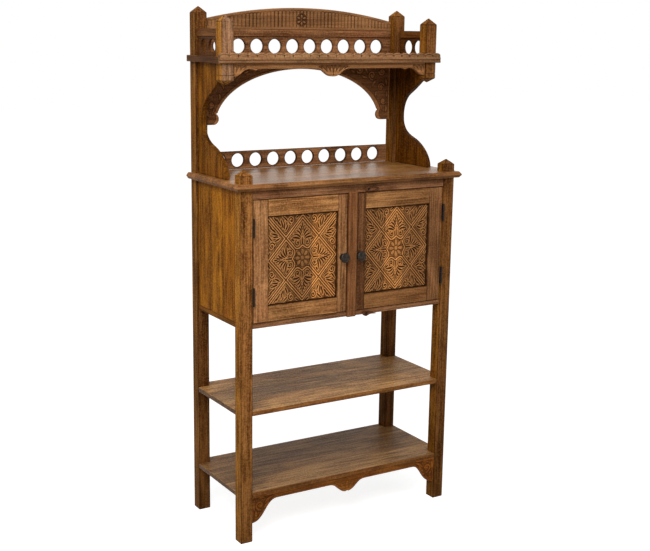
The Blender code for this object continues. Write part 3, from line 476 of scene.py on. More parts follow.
def shaped_edge(half_span, top, band, bracket, centre):
    """Heights along the lower edge of a rail with end brackets and a middle drop."""
    length, drop = bracket
    half, fall = centre
    middle = cubic((0, top - fall), (half / 2, top - fall), (half / 2, top - band), (half, top - band))
    root = half_span - length
    end = cubic((root, top - band), (root + length / 2, top - band),
                (half_span - length / 2, top - drop), (half_span, top - drop))
    line = np.vstack((middle, end))
    return lambda x: np.interp(np.abs(x), line[:, 0], line[:, 1])


apron_low, apron_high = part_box("bottom_apron")
apron_edge = shaped_edge(apron_high.x, apron_high.z, APRON_BAND, APRON_BRACKET, APRON_CENTRE)
# Drawn in millimetres, from the post inwards or from the middle outwards, and down from the top edge
apron_scrolls = [
    volute((30, 36), 18, 80, 1.4, 3.4),
    leaf((10, 89), (20, 66), (11, 50), 5.6),
    leaf((13, 88), (34, 78), (35, 60), 5.0),
    leaf((8, 50), (5, 30), (10, 10), 4.8),
    leaf((46, 48), (60, 36), (66, 22), 4.8),
    leaf((50, 30), (66, 13), (84, 11), 4.6),
    leaf((22, 13), (38, 7), (54, 12), 4.2),
]
apron_drop = [
    leaf((0, 50), (0, 30), (0, 10), 5.6),
    leaf((5, 50), (20, 40), (26, 18), 5.4),
    leaf((11, 49), (36, 40), (52, 19), 4.8),
]


def apron_foot(x):
    """Height of the lower edge, with a nick in the tip of the drop."""
    return apron_edge(x) + APRON_NICK[0] * bell(x, APRON_NICK[1])


def apron_relief(x, z, u):
    """Scrolls in the brackets, leaves in the drop, rubbed lower edge."""
    away = (z - apron_edge(x)) * EDGE_LEAN
    below = apron_high.z - z
    inward = apron_high.x - np.abs(x)
    field = step(0.003, 0.005, away) * step(0.004, 0.006, below) * step(0.002, 0.004, inward)
    bracket = field * step(0.090, 0.080, inward)
    drop = field * step(0.064, 0.052, np.abs(x)) * step(0.007, 0.009, below)
    scrolls, scroll_shade = raised(inward, below, apron_scrolls)
    lobes, lobe_shade = raised(np.abs(x), below, apron_drop)
    cut = np.maximum(bracket * (1 - scrolls), 0.5 * drop * (1 - lobes))
    sink = APRON_DEPTH * cut * (1 + UNEVEN * hand(x, z)) + rounding(away)
    return sink, np.maximum(0.8 * bracket * scroll_shade, 0.45 * drop * lobe_shade)


apron_wood = waxed_wood("apron_wood", "X", (146, 88, 34))
apron_place = between(apron_low, apron_high, apron_foot)
bm = carved_board(APRON_COLUMNS, APRON_ROWS, apron_place, apron_low.y, apron_high.y, apron_relief)
board = bm.faces.layers.float.new("board")
for face in bm.faces:
    face[board] = APRON_FIGURES[face.calc_center_median().x > apron_high.x - APRON_BLOCK]
settle(bm, "carved", "bottom_apron", apron_wood, crease=CARVED_CREASE)

# Cabinet rails
# A deep rail over the doors, a slim one under them and one along each side, tenoned between the posts.
# All are planed hardwood; the top rail is a redder board than the others.
RAIL_EASE = 0.0012
rail_wood = waxed_wood("rail_wood", "X", (142, 98, 64), edge_wear_and_shade=-0.6)
side_rail_wood = waxed_wood("side_rail_wood", "Y", (126, 78, 24), sheen=0.02, edge_wear_and_shade=-0.6)
for node, wood, figure in (
        ("front_top_rail", rail_wood, 0.44), ("front_bottom_rail", rail_wood, 0.41),
        ("left_bottom_rail", side_rail_wood, 0.45), ("right_bottom_rail", side_rail_wood, 0.40)):
    settle(ease(merged(node), RAIL_EASE), "planed", node, wood, figure)

# Side panels, back and floor of the cabinet
# Each side is three upright planks butted in a shallow V joint; the back and floor are thinner boards.
# They stand in rebates in the posts and rails and are waxed inside and out.
PANEL_EASE = 0.0022
PLANK_JOINTS = (-0.0364, 0.0597)
BACK_JOINTS = (-0.22, -0.06, 0.11, 0.25)
PANEL_SHADE_RIM = 0.007                    # painted darker as shade where a panel meets a post
RIM_SHADE_FIGURES = (0.12, 0.08)           # at the front post and at the rear one
FLOOR_JOINTS = (-0.03, 0.08)
JOINT_HALF = 0.0018
JOINT_DEPTH = 0.0014


def score(bm, axis, place, half, pinched, depth):
    """Cut a V groove right round a piece, square to an axis, and leave wax in it."""
    hollow = bm.verts.layers.float.get("hollow") or bm.verts.layers.float.new("hollow")
    for cut in (place - half, place, place + half):
        part_at(bm, axis, cut)
    ring = [vert for vert in bm.verts if abs(vert.co[axis] - place) < 1e-5]
    for way in pinched:
        ends = [vert.co[way] for vert in ring]
        middle, reach = (max(ends) + min(ends)) / 2, (max(ends) - min(ends)) / 2
        for vert in ring:
            vert.co[way] = middle + (vert.co[way] - middle) * (1 - depth / reach)
    for vert in ring:
        vert[hollow] = 1.0
    return bm


plank_wood = waxed_wood("plank_wood", "Z", (162, 102, 26), sheen=0.02, edge_wear_and_shade=-0.6, bold=1.9)
for side, figures in (("left", (0.57, 0.50, 0.42)), ("right", (0.43, 0.52, 0.36))):
    node = side + "_side_panel"
    # Painted shade: a dark strip along each edge where the panel meets a post
    front_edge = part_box("front_%s_post" % side)[1].y + PANEL_SHADE_RIM
    rear_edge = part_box("rear_%s_post" % side)[0].y - PANEL_SHADE_RIM
    joints = (front_edge, *PLANK_JOINTS, rear_edge)
    bm = glue_up(ease(merged(node), PANEL_EASE), 1, joints, (RIM_SHADE_FIGURES[0], *figures, RIM_SHADE_FIGURES[1]))
    for joint in PLANK_JOINTS:
        score(bm, 1, joint, JOINT_HALF, (0,), JOINT_DEPTH)
    settle(bm, "planked", node, plank_wood)
bm = glue_up(ease(merged("cabinet_back"), PANEL_EASE), 0, BACK_JOINTS, (0.35, 0.48, 0.41, 0.54, 0.38))
settle(bm, "planked", "cabinet_back", plank_wood)
bm = glue_up(ease(merged("cabinet_floor"), PANEL_EASE), 1, FLOOR_JOINTS, (0.37, 0.31, 0.40))
settle(bm, "glued", "cabinet_floor", shelf_wood)

# Counter
# A glued-up top with a pointed nosing on three sides, pierced by the front posts.
# It is polished more than the rest and shows the light through the gallery behind it.
COUNTER_EASE = 0.0014
COUNTER_JOINTS = (-0.085, 0.018, 0.110)
counter_wood = waxed_wood("counter_wood", "X", (148, 103, 52), 0.30, 0.42, wander=1.0)
nosing_wood = waxed_wood("nosing_wood", "X", (140, 95, 54), wander=0.6)
bm = glue_up(ease(merged("counter_top"), COUNTER_EASE), 1, COUNTER_JOINTS, (0.44, 0.52, 0.40, 0.47))
bm.normal_update()
for face in bm.faces:
    face.material_index = 0 if face.normal.z > 0.97 else 1
counter = settle(bm, "glued", "counter_top", counter_wood)
counter.data.materials.append(nosing_wood)

# Door frames
# Two stiles and two rails to each door, grooved for the panel and joined with stub tenons.
# The stiles run full height; the rails are a more golden board with the grain across.
FRAME_EASE = 0.0013
stile_wood = waxed_wood("stile_wood", "Z", (174, 123, 78), edge_wear_and_shade=-0.85)
door_rail_wood = waxed_wood("door_rail_wood", "X", (176, 124, 74), edge_wear_and_shade=-0.85)
# The right door's pieces take darker figures than the left's, in part as painted shade of the light falling
# off to the right
for node, wood, figure in (
        ("left_door_hinge_stile", stile_wood, 0.45), ("left_door_meeting_stile", stile_wood, 0.36),
        ("left_door_top_rail", door_rail_wood, 0.53), ("left_door_bottom_rail", door_rail_wood, 0.42),
        ("right_door_hinge_stile", stile_wood, 0.20), ("right_door_meeting_stile", stile_wood, 0.11),
        ("right_door_top_rail", door_rail_wood, 0.30), ("right_door_bottom_rail", door_rail_wood, 0.16)):
    bm = ease(merged(node), FRAME_EASE)
    # Painted shade: every edge face of a frame piece, along the gaps round the door and the panel, is marked
    # to be painted dark
    bm.normal_update()
    wear_and_shade = bm.faces.layers.float["wear_and_shade"]
    for face in bm.faces:
        if abs(face.normal.y) < 0.3:
            face[wear_and_shade] = 1.0
    settle(bm, "grooved", node, wood, figure)

# Carved door panels
# Each panel is glued up from upright strips and carved by hand: double straps in a lozenge lattice,
# a rosette in the middle, and palmettes and scrolls parted by narrow gouge cuts in between.
PANEL_TUCK = 0.0077                  # of the panel in the frame's groove
PANEL_CARVING = 0.0034
PANEL_COLUMNS = 296
PANEL_ROWS = 324
PANEL_JOINTS = {"left": (0.37, 0.63, 0.735), "right": (0.33, 0.60)}
PANEL_FIGURES = {"left": (0.44, 0.31, 0.76, 0.69), "right": (0.31, 0.67, 0.29)}
PANEL_HALF = 143                     # the pattern's half side, in the millimetres that it is drawn in
LOZENGE = 134                        # reach of the middle lozenge
STRAP_HALF = 6.2
STRAP_GROOVE = 1.6
STRAP_START = 46                     # from the middle to where the straps part round the rosette
ROSETTE_REACH = 31
RIB_HALF = 2.4                       # of the rib round the rosette
HAND_SLIP = 0.0005                   # how far the cuts stray from the drawing

# The pattern repeats in eight, so one eighth is drawn: first across, second towards a side's middle
panel_ribs = [[(a, b, RIB_HALF) for a, b in (
    (34, 39.5), (29, 34.5), (25, 31.7), (20, 30.7), (14, 32), (8, 35.5), (3, 39), (0, 40.5))]]
panel_slits = [
    leaf((0, 101), (0, 107), (0, 115), 1.8),
    leaf((2.5, 90), (4, 101), (9, 106), 1.5),
    leaf((4, 80), (8, 94), (17, 98), 1.9),
    leaf((6, 72), (13, 87), (26, 89), 2.0),
    leaf((8, 66), (20, 78), (35, 78), 2.1),
    leaf((12, 62), (26, 69), (43, 66), 2.5),
    [(36, 57, 1.4), (40, 60, 2.2), (45, 62, 0.8)],
    volute((20, 49.6), 10.5, 60, -1.25, 1.0),
    [(0, 48, 2.2), (0, 53, 1.6), (0, 66, 0.6)],
    volute((46, 124), 12.5, -75, 1.3, 1.0),
    leaf((69, 92), (63, 101), (60, 112), 2.0),
    leaf((73, 98), (75, 108), (72, 122), 1.8),
    leaf((79, 101), (83, 112), (87, 128), 2.0),
    leaf((89, 110), (97, 117), (104, 132), 2.0),
    leaf((62, 122), (68, 130), (80, 137), 1.7),
    leaf((103, 124), (109, 129), (116, 138), 1.6),
    leaf((26, 131), (20, 134), (10, 140), 1.8),
]
panel_petals = [
    [(0, 13, 3.2), (0, 19, 5.6), (0, 24, 5.2)],
    [(9.5, 9.5, 3.0), (13.5, 13.5, 5.4), (17, 17, 5.0)],
    [(0, 0, 6.0), (0, 1, 6.0)],
]


def lattice(across, up):
    """Height and darkness of the panel's carving; both places run from -1 to 1 about its middle."""
    first, second = np.abs(across) * PANEL_HALF, np.abs(up) * PANEL_HALF
    low, high = np.minimum(first, second), np.maximum(first, second)
    reach = np.hypot(low, high)
    ribs, slits, petals = [np.min([outside(low, high, stroke) for stroke in strokes], axis=0)
                           for strokes in (panel_ribs, panel_slits, panel_petals)]
    to_diagonal = np.where(reach > STRAP_START, (high - low) / math.sqrt(2), FAR)
    line = np.minimum(np.abs(low + high - LOZENGE) / math.sqrt(2), to_diagonal)
    edge = np.minimum(line - STRAP_HALF, ribs)
    standing = step(0.6, -0.6, np.minimum(edge, petals))
    moat = bell(edge - 1.3, 1.4)
    groove = bell(line, STRAP_GROOVE)
    slit = step(1.2, -0.4, slits) * step(0.0, 1.5, edge)
    rosette = step(ROSETTE_REACH + 1, ROSETTE_REACH - 1, reach)
    outline = bell(petals - 0.7, 0.8)
    ground = rosette * np.maximum(0.45 * step(-0.6, 0.8, petals), 0.75 * outline)
    # A sunk border along the frame, painted dark as the frame's shadow
    shadowed_border = step(5.0, 2.0, PANEL_HALF - high)
    near = np.minimum(slits, edge - 1.0)
    # Painted highlight: the rim along each slit is raised a little and kept light, so that the crown pales it
    # as if lit
    rim = bell(near - 2.2, 1.2)
    swell = 0.70 + 0.20 * rim - 0.12 * step(2.5, 6.0, near)
    cut = np.max([moat, 0.90 * groove, slit, ground, shadowed_border], axis=0)
    height = np.maximum(standing, swell) * (1 - cut)
    return height, np.max([cut, (1 - standing) * (0.40 - 0.40 * rim), 0.20 * rosette], axis=0)


panel_wood = waxed_wood("panel_wood", "Z", (151, 104, 60), crown=0.75)
for side in ("left", "right"):
    node = "%s_door_panel" % side
    low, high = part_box(node)
    middle = (low + high) / 2
    half = (high - low) / 2

    def panel_relief(x, z, u):
        """The lattice, fitted to what shows of the panel in its frame."""
        across = x - middle.x + HAND_SLIP * hand(x + 0.3, z)
        up = z - middle.z + HAND_SLIP * hand(z, x)
        height, shade = lattice(across / (half.x - PANEL_TUCK), up / (half.z - PANEL_TUCK))
        sink = PANEL_CARVING * (1 - height) * (1 + 0.10 * hand(3 * x, 3 * z))
        return np.maximum(sink, 0), shade

    bm = carved_board(PANEL_COLUMNS, PANEL_ROWS, between(low, high), low.y, high.y, panel_relief)
    board = bm.faces.layers.float.new("board")
    joints = [low.x + share * (high.x - low.x) for share in PANEL_JOINTS[side]]
    for face in bm.faces:
        spot = face.verts[0].co.x
        face[board] = PANEL_FIGURES[side][sum(joint < spot for joint in joints)]
    settle(bm, "carved", node, panel_wood, crease=CARVED_CREASE)

# Meeting batten
# A chamfered strip nailed to the right door so that it covers the line where the doors meet.
# It is cut from a redder board and its long edges are rubbed by use.
BATTEN_EASE = 0.0009
batten_wood = waxed_wood("batten_wood", "Z", (126, 82, 48))
bm = ease(merged("meeting_batten"), BATTEN_EASE)
settle(bm, "planed", "meeting_batten", batten_wood, 0.46)

# Hinges
# Four butt hinges of black iron, each two folded leaves on a loose pin with turned ends.
# The leaves lie between door and post, so that only the knuckles show from the front.
IRON_EASE = 0.00025


def black_iron(name):
    """Hammered iron, blacked and oiled, with rust in patches and grey where it is rubbed."""
    material, tree, shader = finish(name)
    place = add(tree, "TexCoord").outputs["Object"]
    dents = noise(tree, place, 240.0, 3.0)
    rust = noise(tree, place, 95.0, 4.0)
    colour = ramp(tree, dents, (0.35, tone(16, 12, 9)), (0.65, tone(40, 32, 25)))
    colour = mix(tree, spread(tree, rust, 0.50, 0.70, 0.0, 0.7), colour, tone(50, 30, 16))
    bare = reckon(tree, "MULTIPLY", painted(tree, "wear_and_shade"), 0.30)
    colour = mix(tree, bare, colour, tone(68, 60, 52))
    feed(tree, shader.inputs["Base Color"], colour)
    feed(tree, shader.inputs["Roughness"], spread(tree, dents, 0.3, 0.7, 0.30, 0.52))
    bump = add(tree, "Bump", {"Strength": 0.5, "Distance": 0.0008, "Height": dents})
    feed(tree, shader.inputs["Normal"], bump.outputs[0])
    shader.inputs["Metallic"].default_value = 0.75
    return material


def filed(node):
    """A copy of an iron node with its sharp edges filed off."""
    return ease(merged(node), IRON_EASE, segments=2, steepest=50, clamp=True)


iron = black_iron("black_iron")
for side in ("left", "right"):
    for level in ("lower", "upper"):
        for part in ("post_leaf", "door_leaf", "pin"):
            node = "%s_%s_hinge_%s" % (side, level, part)
            settle(filed(node), "forged", node, iron)

# Knobs
# Two cast iron knobs: a round rose against the stile, a short neck and a flattened head with a swirl.
# A shank behind the rose is driven into the door.
KNOB_STEPS = 72
KNOB_LOBES = 3
KNOB_TWIST = 4.2                     # radians that the swirl turns from the middle to the rim
KNOB_FLUTE = 0.0022                  # depth of the swirl
KNOB_SHANK = 0.003
KNOB_SEAT = 0.0003                   # between the rose and the stile
KNOB_NECK = 0.0113                   # from the stile to the root of the head
KNOB_FILLET = 0.0006                 # where the neck runs into the head
KNOB_ROOT = 0.42                     # angle on the head where the neck meets it
KNOB_CROWN = 0.004                   # from the root of the head to where hands rub it
# Radius and height of each step of the rose, which narrows to the neck
KNOB_ROSE = ((0.0120, 0), (0.0122, 0.0020), (0.0112, 0.0036),
             (0.0090, 0.0042), (0.0078, 0.0055), (0.0064, 0.0075))


def swirl(spot, middle, radius):
    """How deep the swirl is cut at a place on a knob's head, 0 to 1."""
    away = Vector((spot.x - middle.x, spot.z - middle.z))
    reach = away.length / radius
    turn = math.atan2(away.y, away.x) * KNOB_LOBES + KNOB_TWIST * reach
    return (0.5 - 0.5 * math.cos(turn)) * min(1, 3 * reach) * max(0, 1 - reach ** 4)


for side in ("left", "right"):
    node = side + "_knob"
    low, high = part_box(node)
    middle = (low + high) / 2
    front, radius = low.y, (high.x - low.x) / 2
    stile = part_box(side + "_door_meeting_stile")[0].y
    neck, rose = stile - KNOB_NECK, stile - KNOB_SEAT
    head = [(radius * math.sin(turn), neck + (front - neck) * (1 - math.cos(turn)) / 2)
            for turn in np.linspace(KNOB_ROOT, math.pi, 15)]
    profile = [(0, high.y), (KNOB_SHANK, high.y), (KNOB_SHANK, rose)]
    profile += [(reach, rose - up) for reach, up in KNOB_ROSE]
    profile += [(KNOB_ROSE[-1][0], neck + KNOB_FILLET), *head[:-1], (0, front)]
    bm = bmesh.new()
    line = [bm.verts.new((middle.x + reach, y, middle.z)) for reach, y in profile]
    for first, second in zip(line, line[1:]):
        bm.edges.new((first, second))
    bmesh.ops.spin(bm, geom=bm.verts[:] + bm.edges[:], cent=middle, axis=(0, 1, 0),
                   angle=math.tau, steps=KNOB_STEPS, use_merge=True)
    bmesh.ops.remove_doubles(bm, verts=bm.verts, dist=1e-6)
    bmesh.ops.recalc_face_normals(bm, faces=bm.faces)
    bm.normal_update()
    wear_and_shade = bm.faces.layers.float.new("wear_and_shade")
    for face in bm.faces:
        spot = face.calc_center_median()
        if spot.y < neck - KNOB_CROWN:
            face[wear_and_shade] = max(0.0, 1 - 3 * swirl(spot, middle, radius))
    for vert in bm.verts:
        if vert.co.y < neck:
            vert.co -= vert.normal * KNOB_FLUTE * swirl(vert.co, middle, radius)
    settle(bm, "cast", node, iron)

# Turn-buttons and their screws
# Two tapered wooden buttons that turn over the right door; at rest they lie along their rails.
# Each swings on an iron screw with a domed, slotted head in a counterbore.
BUTTON_EASE = 0.0016
SLOT_HALF = 0.0006                   # half the width of the screw's slot
SLOT_WALL = 0.0001
SLOT_DEPTH = 0.0010
SCREW_HEAD = 0.0030                  # its height
button_wood = waxed_wood("button_wood", "X", (112, 72, 46), edge_wear_and_shade=-0.8)
for level, figure in (("top", 0.45), ("bottom", 0.38)):
    node = level + "_turn_button"
    bm = ease(merged(node), BUTTON_EASE, steepest=35)
    settle(bm, "shaped", node, button_wood, figure)
    node = level + "_button_screw"
    low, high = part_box(node)
    middle = (low + high) / 2
    bm = filed(node)
    for cut in (-SLOT_HALF - SLOT_WALL, -SLOT_HALF, SLOT_HALF, SLOT_HALF + SLOT_WALL):
        part_at(bm, 2, middle.z + cut)
    for vert in bm.verts:
        if abs(vert.co.z - middle.z) < SLOT_HALF + SLOT_WALL / 2 and vert.co.y < low.y + SCREW_HEAD:
            vert.co.y += SLOT_DEPTH
    settle(bm, "slotted", node, iron)

# Counter gallery
# A thin board along the back of the counter, bored with a row of large round holes.
# A ring round each hole and its wall are painted dark as shade, and daylight shows through the holes on the
# counter.
COUNTER_HOLE = (0.024, 0.0715, 10)   # radius, pitch and number
HOLE_STEPS = 48
HOLE_SHADE_RING = 0.0035                  # width of the ring painted dark as shade round a hole
GALLERY_EASE = 0.0012


def pierced(low, high, thin, hole, height, middle=0.0):
    """A board bored with a row of holes, each ringed with painted shade; thin is the axis through it."""
    radius, pitch, count = hole
    along = 1 - thin
    bm = bmesh.new()

    def outline(points):
        """Corners on the front face, from places along the board and up."""
        verts = []
        for a, b in points:
            spot = Vector((0, 0, b))
            spot[along] = a
            spot[thin] = low[thin]
            verts.append(bm.verts.new(spot))
        return verts

    def circle(centre, reach):
        """A ring of corners round the middle of a hole."""
        turns = [math.tau * (number + 0.5) / HOLE_STEPS for number in range(HOLE_STEPS)]
        return outline([(centre + reach * math.cos(turn), height + reach * math.sin(turn)) for turn in turns])

    centres = [middle + (index - (count - 1) / 2) * pitch for index in range(count)]
    shade_rings = [circle(centre, radius + HOLE_SHADE_RING) for centre in centres]
    board = outline(((low[along], low.z), (high[along], low.z), (high[along], high.z), (low[along], high.z)))
    for loop in (board, *shade_rings):
        for first, second in zip(loop, loop[1:] + loop[:1]):
            bm.edges.new((first, second))
    bmesh.ops.triangle_fill(bm, use_beauty=True, use_dissolve=False, edges=bm.edges)
    bmesh.ops.recalc_face_normals(bm, faces=bm.faces)
    bmesh.ops.dissolve_limit(bm, angle_limit=math.radians(0.5), use_dissolve_boundaries=False,
                             verts=bm.verts, edges=bm.edges)
    for centre, shade_ring in zip(centres, shade_rings):
        rim = circle(centre, radius)
        for number in range(HOLE_STEPS):
            bm.faces.new((shade_ring[number - 1], shade_ring[number], rim[number], rim[number - 1]))
    grown = bmesh.ops.extrude_face_region(bm, geom=bm.faces[:])["geom"]
    for item in grown:
        if isinstance(item, bmesh.types.BMVert):
            item.co[thin] = high[thin]
    bmesh.ops.recalc_face_normals(bm, faces=bm.faces)
    # Painted shade: the ring round each hole and the wall inside it are marked to be painted dark
    wear_and_shade = bm.faces.layers.float.new("wear_and_shade")
    for face in bm.faces:
        if len(face.verts) == 4 and abs(face.calc_center_median().z - height) < radius + HOLE_SHADE_RING:
            face[wear_and_shade] = 1.0
    return bm


gallery_wood = waxed_wood("gallery_wood", "X", (146, 102, 67), sheen=0.0, edge_wear_and_shade=-0.95)
low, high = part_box("counter_gallery")
bm = ease(pierced(low, high, 1, COUNTER_HOLE, (low.z + high.z) / 2), GALLERY_EASE)
settle(bm, "bored", "counter_gallery", gallery_wood, 0.38)

# Side boards
# Two S-shaped boards that carry the upper shelf on the counter, sawn from one wide plank each.
# Their curved front edge is rounded over; the grain runs upright, and a band along the joint at the post is
# painted dark as shade.
SIDE_EASE = 0.0020
SIDE_JOINT_SHADE = 0.0060
side_board_wood = waxed_wood("side_board_wood", "Z", (152, 95, 24), sheen=0.02, edge_wear_and_shade=-0.7, bold=1.9)
for node, figure in (("left_side_board", 0.33), ("right_side_board", 0.15)):
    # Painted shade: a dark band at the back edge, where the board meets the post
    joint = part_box(node)[1].y - SIDE_JOINT_SHADE
    bm = glue_up(ease(merged(node), SIDE_EASE), 1, (joint,), (figure, 0.10))
    bm.normal_update()
    wear_and_shade = bm.faces.layers.float["wear_and_shade"]
    for face in bm.faces:
        if face.normal.y < -0.3:
            face[wear_and_shade] = 1.0
    settle(bm, "sawn", node, side_board_wood)

# Arched back board
# A board under the back of the upper shelf, sawn to a wide arch with a round toe at each foot.
# A plain band follows the arch, and the spandrels behind it are carved with scrolls and leaves.
ARCH_HALF = 0.340
ARCH_RISE = 0.189
ARCH_TOE = (0.020, 0.0125, 60)       # radius, bulge into the arch, angle in degrees where it meets the arch
ARCH_COLUMNS = 520
ARCH_ROWS = 56
ARCH_BAND = 0.013
ARCH_CARVING = 0.0026
arch_low, arch_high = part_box("back_arch")
toe_radius, toe_bulge, toe_angle = ARCH_TOE
toe_middle = (ARCH_HALF - toe_bulge + toe_radius, arch_low.z + toe_radius)
toe_turns = np.radians(np.linspace(-90, toe_angle, 40))
toe = np.array([(-toe_middle[0] + toe_radius * math.cos(turn), toe_middle[1] + toe_radius * math.sin(turn))
                for turn in toe_turns])
spring = math.asin((toe[-1][1] - arch_low.z) / ARCH_RISE)
turns = np.linspace(math.pi - spring, math.pi / 2, 80)[1:]
bow = [(ARCH_HALF * math.cos(turn), arch_low.z + ARCH_RISE * math.sin(turn)) for turn in turns]
half_line = np.vstack((toe, bow))
arch_line = np.vstack((half_line, half_line[-2::-1] * (-1, 1)))
run = np.concatenate(([0], np.cumsum(np.hypot(*np.diff(arch_line, axis=0).T))))
corner_turn = math.atan2((arch_high.z - arch_low.z) / ARCH_RISE, arch_high.x / ARCH_HALF)
corner_run = np.interp(-ARCH_HALF * math.cos(corner_turn), half_line[len(toe):, 0],
                       run[len(toe):len(half_line)])
arch_stops = np.array([0, corner_run, run[-1] - corner_run, run[-1]])


def arch_ends(u):
    """The inner and outer end of each column of the arch's grid."""
    length = u * run[-1]
    inner = np.interp(length, run, arch_line[:, 0]), np.interp(length, run, arch_line[:, 1])
    (left, foot), (right, top) = [(corner.x, corner.z) for corner in (arch_low, arch_high)]
    outer = (np.interp(length, arch_stops, (left, left, right, right)),
             np.interp(length, arch_stops, (foot, top, top, foot)))
    return inner, outer


def arch_place(u, v):
    """Where a point of the arch's grid lies."""
    inner, outer = arch_ends(u)
    return inner[0] + (outer[0] - inner[0]) * v, inner[1] + (outer[1] - inner[1]) * v


# Drawn in millimetres inwards from the post and down from the shelf
arch_strokes = [
    volute((78, 52), 17, 100, -1.5, 3.0),
    volute((38, 96), 15, 200, 1.5, 3.0),
    volute((26, 148), 11, 120, -1.4, 2.6),
    volute((132, 32), 14, 20, 1.5, 2.8),
    volute((186, 23), 10, 200, -1.4, 2.5),
    volute((34, 40), 14, 0, 1.5, 3.0),
    leaf((98, 44), (112, 22), (110, 10), 4.5),
    leaf((62, 34), (70, 16), (88, 12), 4.5),
    leaf((100, 60), (116, 60), (126, 50), 4.0),
    leaf((60, 72), (72, 80), (76, 96), 4.5),
    leaf((56, 112), (62, 118), (58, 132), 4.0),
    leaf((18, 66), (10, 78), (14, 92), 4.0),
    leaf((12, 112), (8, 124), (12, 134), 3.6),
    leaf((14, 164), (10, 178), (16, 190), 4.0),
    leaf((36, 162), (36, 172), (30, 182), 3.0),
    leaf((52, 22), (48, 12), (34, 8), 4.0),
    leaf((14, 24), (8, 14), (14, 8), 3.6),
    leaf((152, 40), (164, 40), (172, 32), 3.6),
    leaf((150, 16), (164, 8), (176, 10), 3.6),
    leaf((204, 20), (222, 10), (240, 12), 4.0),
    leaf((204, 32), (220, 28), (232, 22), 3.0),
    leaf((246, 18), (272, 10), (296, 12), 3.6),
]


def arch_relief(x, z, u):
    """A plain band along the arch, carved spandrels behind it."""
    inner = arch_ends(u)[0]
    away = np.hypot(x - inner[0], z - inner[1])
    side, below = arch_high.x - np.abs(x), arch_high.z - z
    groove = bell(away - ARCH_BAND, 0.0016)
    field = step(0.001, 0.003, away - ARCH_BAND) * step(0.002, 0.004, side) * step(0.003, 0.005, below)
    height, shade = raised(side, below, arch_strokes)
    cut = np.maximum(field * (1 - height), groove)
    sink = ARCH_CARVING * cut * (1 + UNEVEN * hand(x, z)) + rounding(away)
    return sink, 0.7 * np.maximum(field * shade, groove)


arch_wood = waxed_wood("arch_wood", "X", (162, 112, 68), crown=0.22)
bm = carved_board(ARCH_COLUMNS, ARCH_ROWS, arch_place, arch_low.y, arch_high.y, arch_relief)
settle(bm, "carved", "back_arch", arch_wood, 0.44, crease=CARVED_CREASE)

# Short posts
# Two short posts at the front of the upper shelf, with a pyramid cap and a pointed pendant below.
# A shallow groove runs round each pendant.
PENDANT_GROOVE = 0.0380              # below the underside of the upper shelf
PENDANT_CUT = 0.0014                 # the groove's depth and half width
# The short posts' fronts and backs also take their own tone, as painted sheen and shade
pale_post_wood = waxed_wood("pale_post_wood", "Z", (148, 109, 77), edge_wear_and_shade=-0.4)
for node, wood, figure in (("left_short_post", pale_post_wood, 0.46),
                           ("right_short_post", post_front_sheen_wood, 0.23)):
    bm = ease(merged(node), POST_EASE)
    score(bm, 2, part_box("upper_shelf")[0].z - PENDANT_GROOVE, PENDANT_CUT, (0, 1), PENDANT_CUT)
    two_sided(bm, node, post_wood, wood, figure)

# Upper shelf and its side strips
# The upper shelf is glued up like the lower ones; a plain strip covers each end of it.
# The strips are nailed on, with the grain front to back.
UPPER_JOINTS = (0.042, 0.118)
bm = glue_up(ease(merged("upper_shelf"), SHELF_EASE), 1, UPPER_JOINTS, (0.37, 0.27, 0.33))
settle(bm, "glued", "upper_shelf", shelf_wood)
strip_wood = waxed_wood("strip_wood", "Y", (92, 57, 24), edge_wear_and_shade=0.35)
for node, figure in (("left_edge_strip", 0.40), ("right_edge_strip", 0.45)):
    settle(ease(merged(node), RAIL_EASE), "planed", node, strip_wood, figure)

# Scalloped front strip
# A strip along the front of the upper shelf, its top edge cut to a row of small round lobes.
# A nick under each dip parts the lobes, an arc is cut inside each, and a scratched line runs along below.
STRIP_LOBES = 26
STRIP_FOOT = 0.0255                  # height of the dips
STRIP_LINE = 0.0105                  # height of the scratched line
STRIP_NICK = 0.0250                  # height of the nicks' middles
STRIP_ARC = 0.0048                   # from a lobe's edge down to the arc inside it
STRIP_CARVING = 0.0022
STRIP_COLUMNS = STRIP_LOBES * 18
STRIP_ROWS = 24
strip_low, strip_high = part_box("front_edge_strip")
lobe = (strip_high.x - strip_low.x) / STRIP_LOBES


def strip_top(x):
    """Height of the lobed top edge."""
    share = np.mod((x - strip_low.x) / lobe, 1.0) * 2 - 1
    foot = strip_low.z + STRIP_FOOT
    return foot + (strip_high.z - foot) * np.sqrt(np.clip(1 - share * share, 0, 1)) ** 1.2


def strip_relief(x, z, u):
    """A scratched line, nicks under the dips, rubbed edges."""
    height = z - strip_low.z
    dip = np.abs(np.mod((x - strip_low.x) / lobe + 0.5, 1.0) - 0.5) * lobe
    line = bell(height - STRIP_LINE, 0.0012)
    nick = step(0.0036, 0.0018, dip + 0.45 * np.abs(height - STRIP_NICK)) * (0.8 + 0.3 * np.sin(331 * x))
    below = strip_top(x) - z
    top = bell(below, 0.0011)
    arc = bell(below - STRIP_ARC, 0.0014) * step(0.002, 0.006, dip)
    cut = np.clip(0.8 * line + nick + 0.6 * arc * (0.75 + 0.25 * np.sin(83 * x + 1)), 0, 1)
    return STRIP_CARVING * cut + 0.0010 * top + rounding(height), cut


strip_front_wood = waxed_wood("strip_front_wood", "X", (138, 100, 66), crown=0.10)
strip_place = between(strip_low, strip_high, top=strip_top)
bm = carved_board(STRIP_COLUMNS, STRIP_ROWS, strip_place, strip_low.y, strip_high.y, strip_relief)
settle(bm, "carved", "front_edge_strip", strip_front_wood, 0.47, crease=CARVED_CREASE)

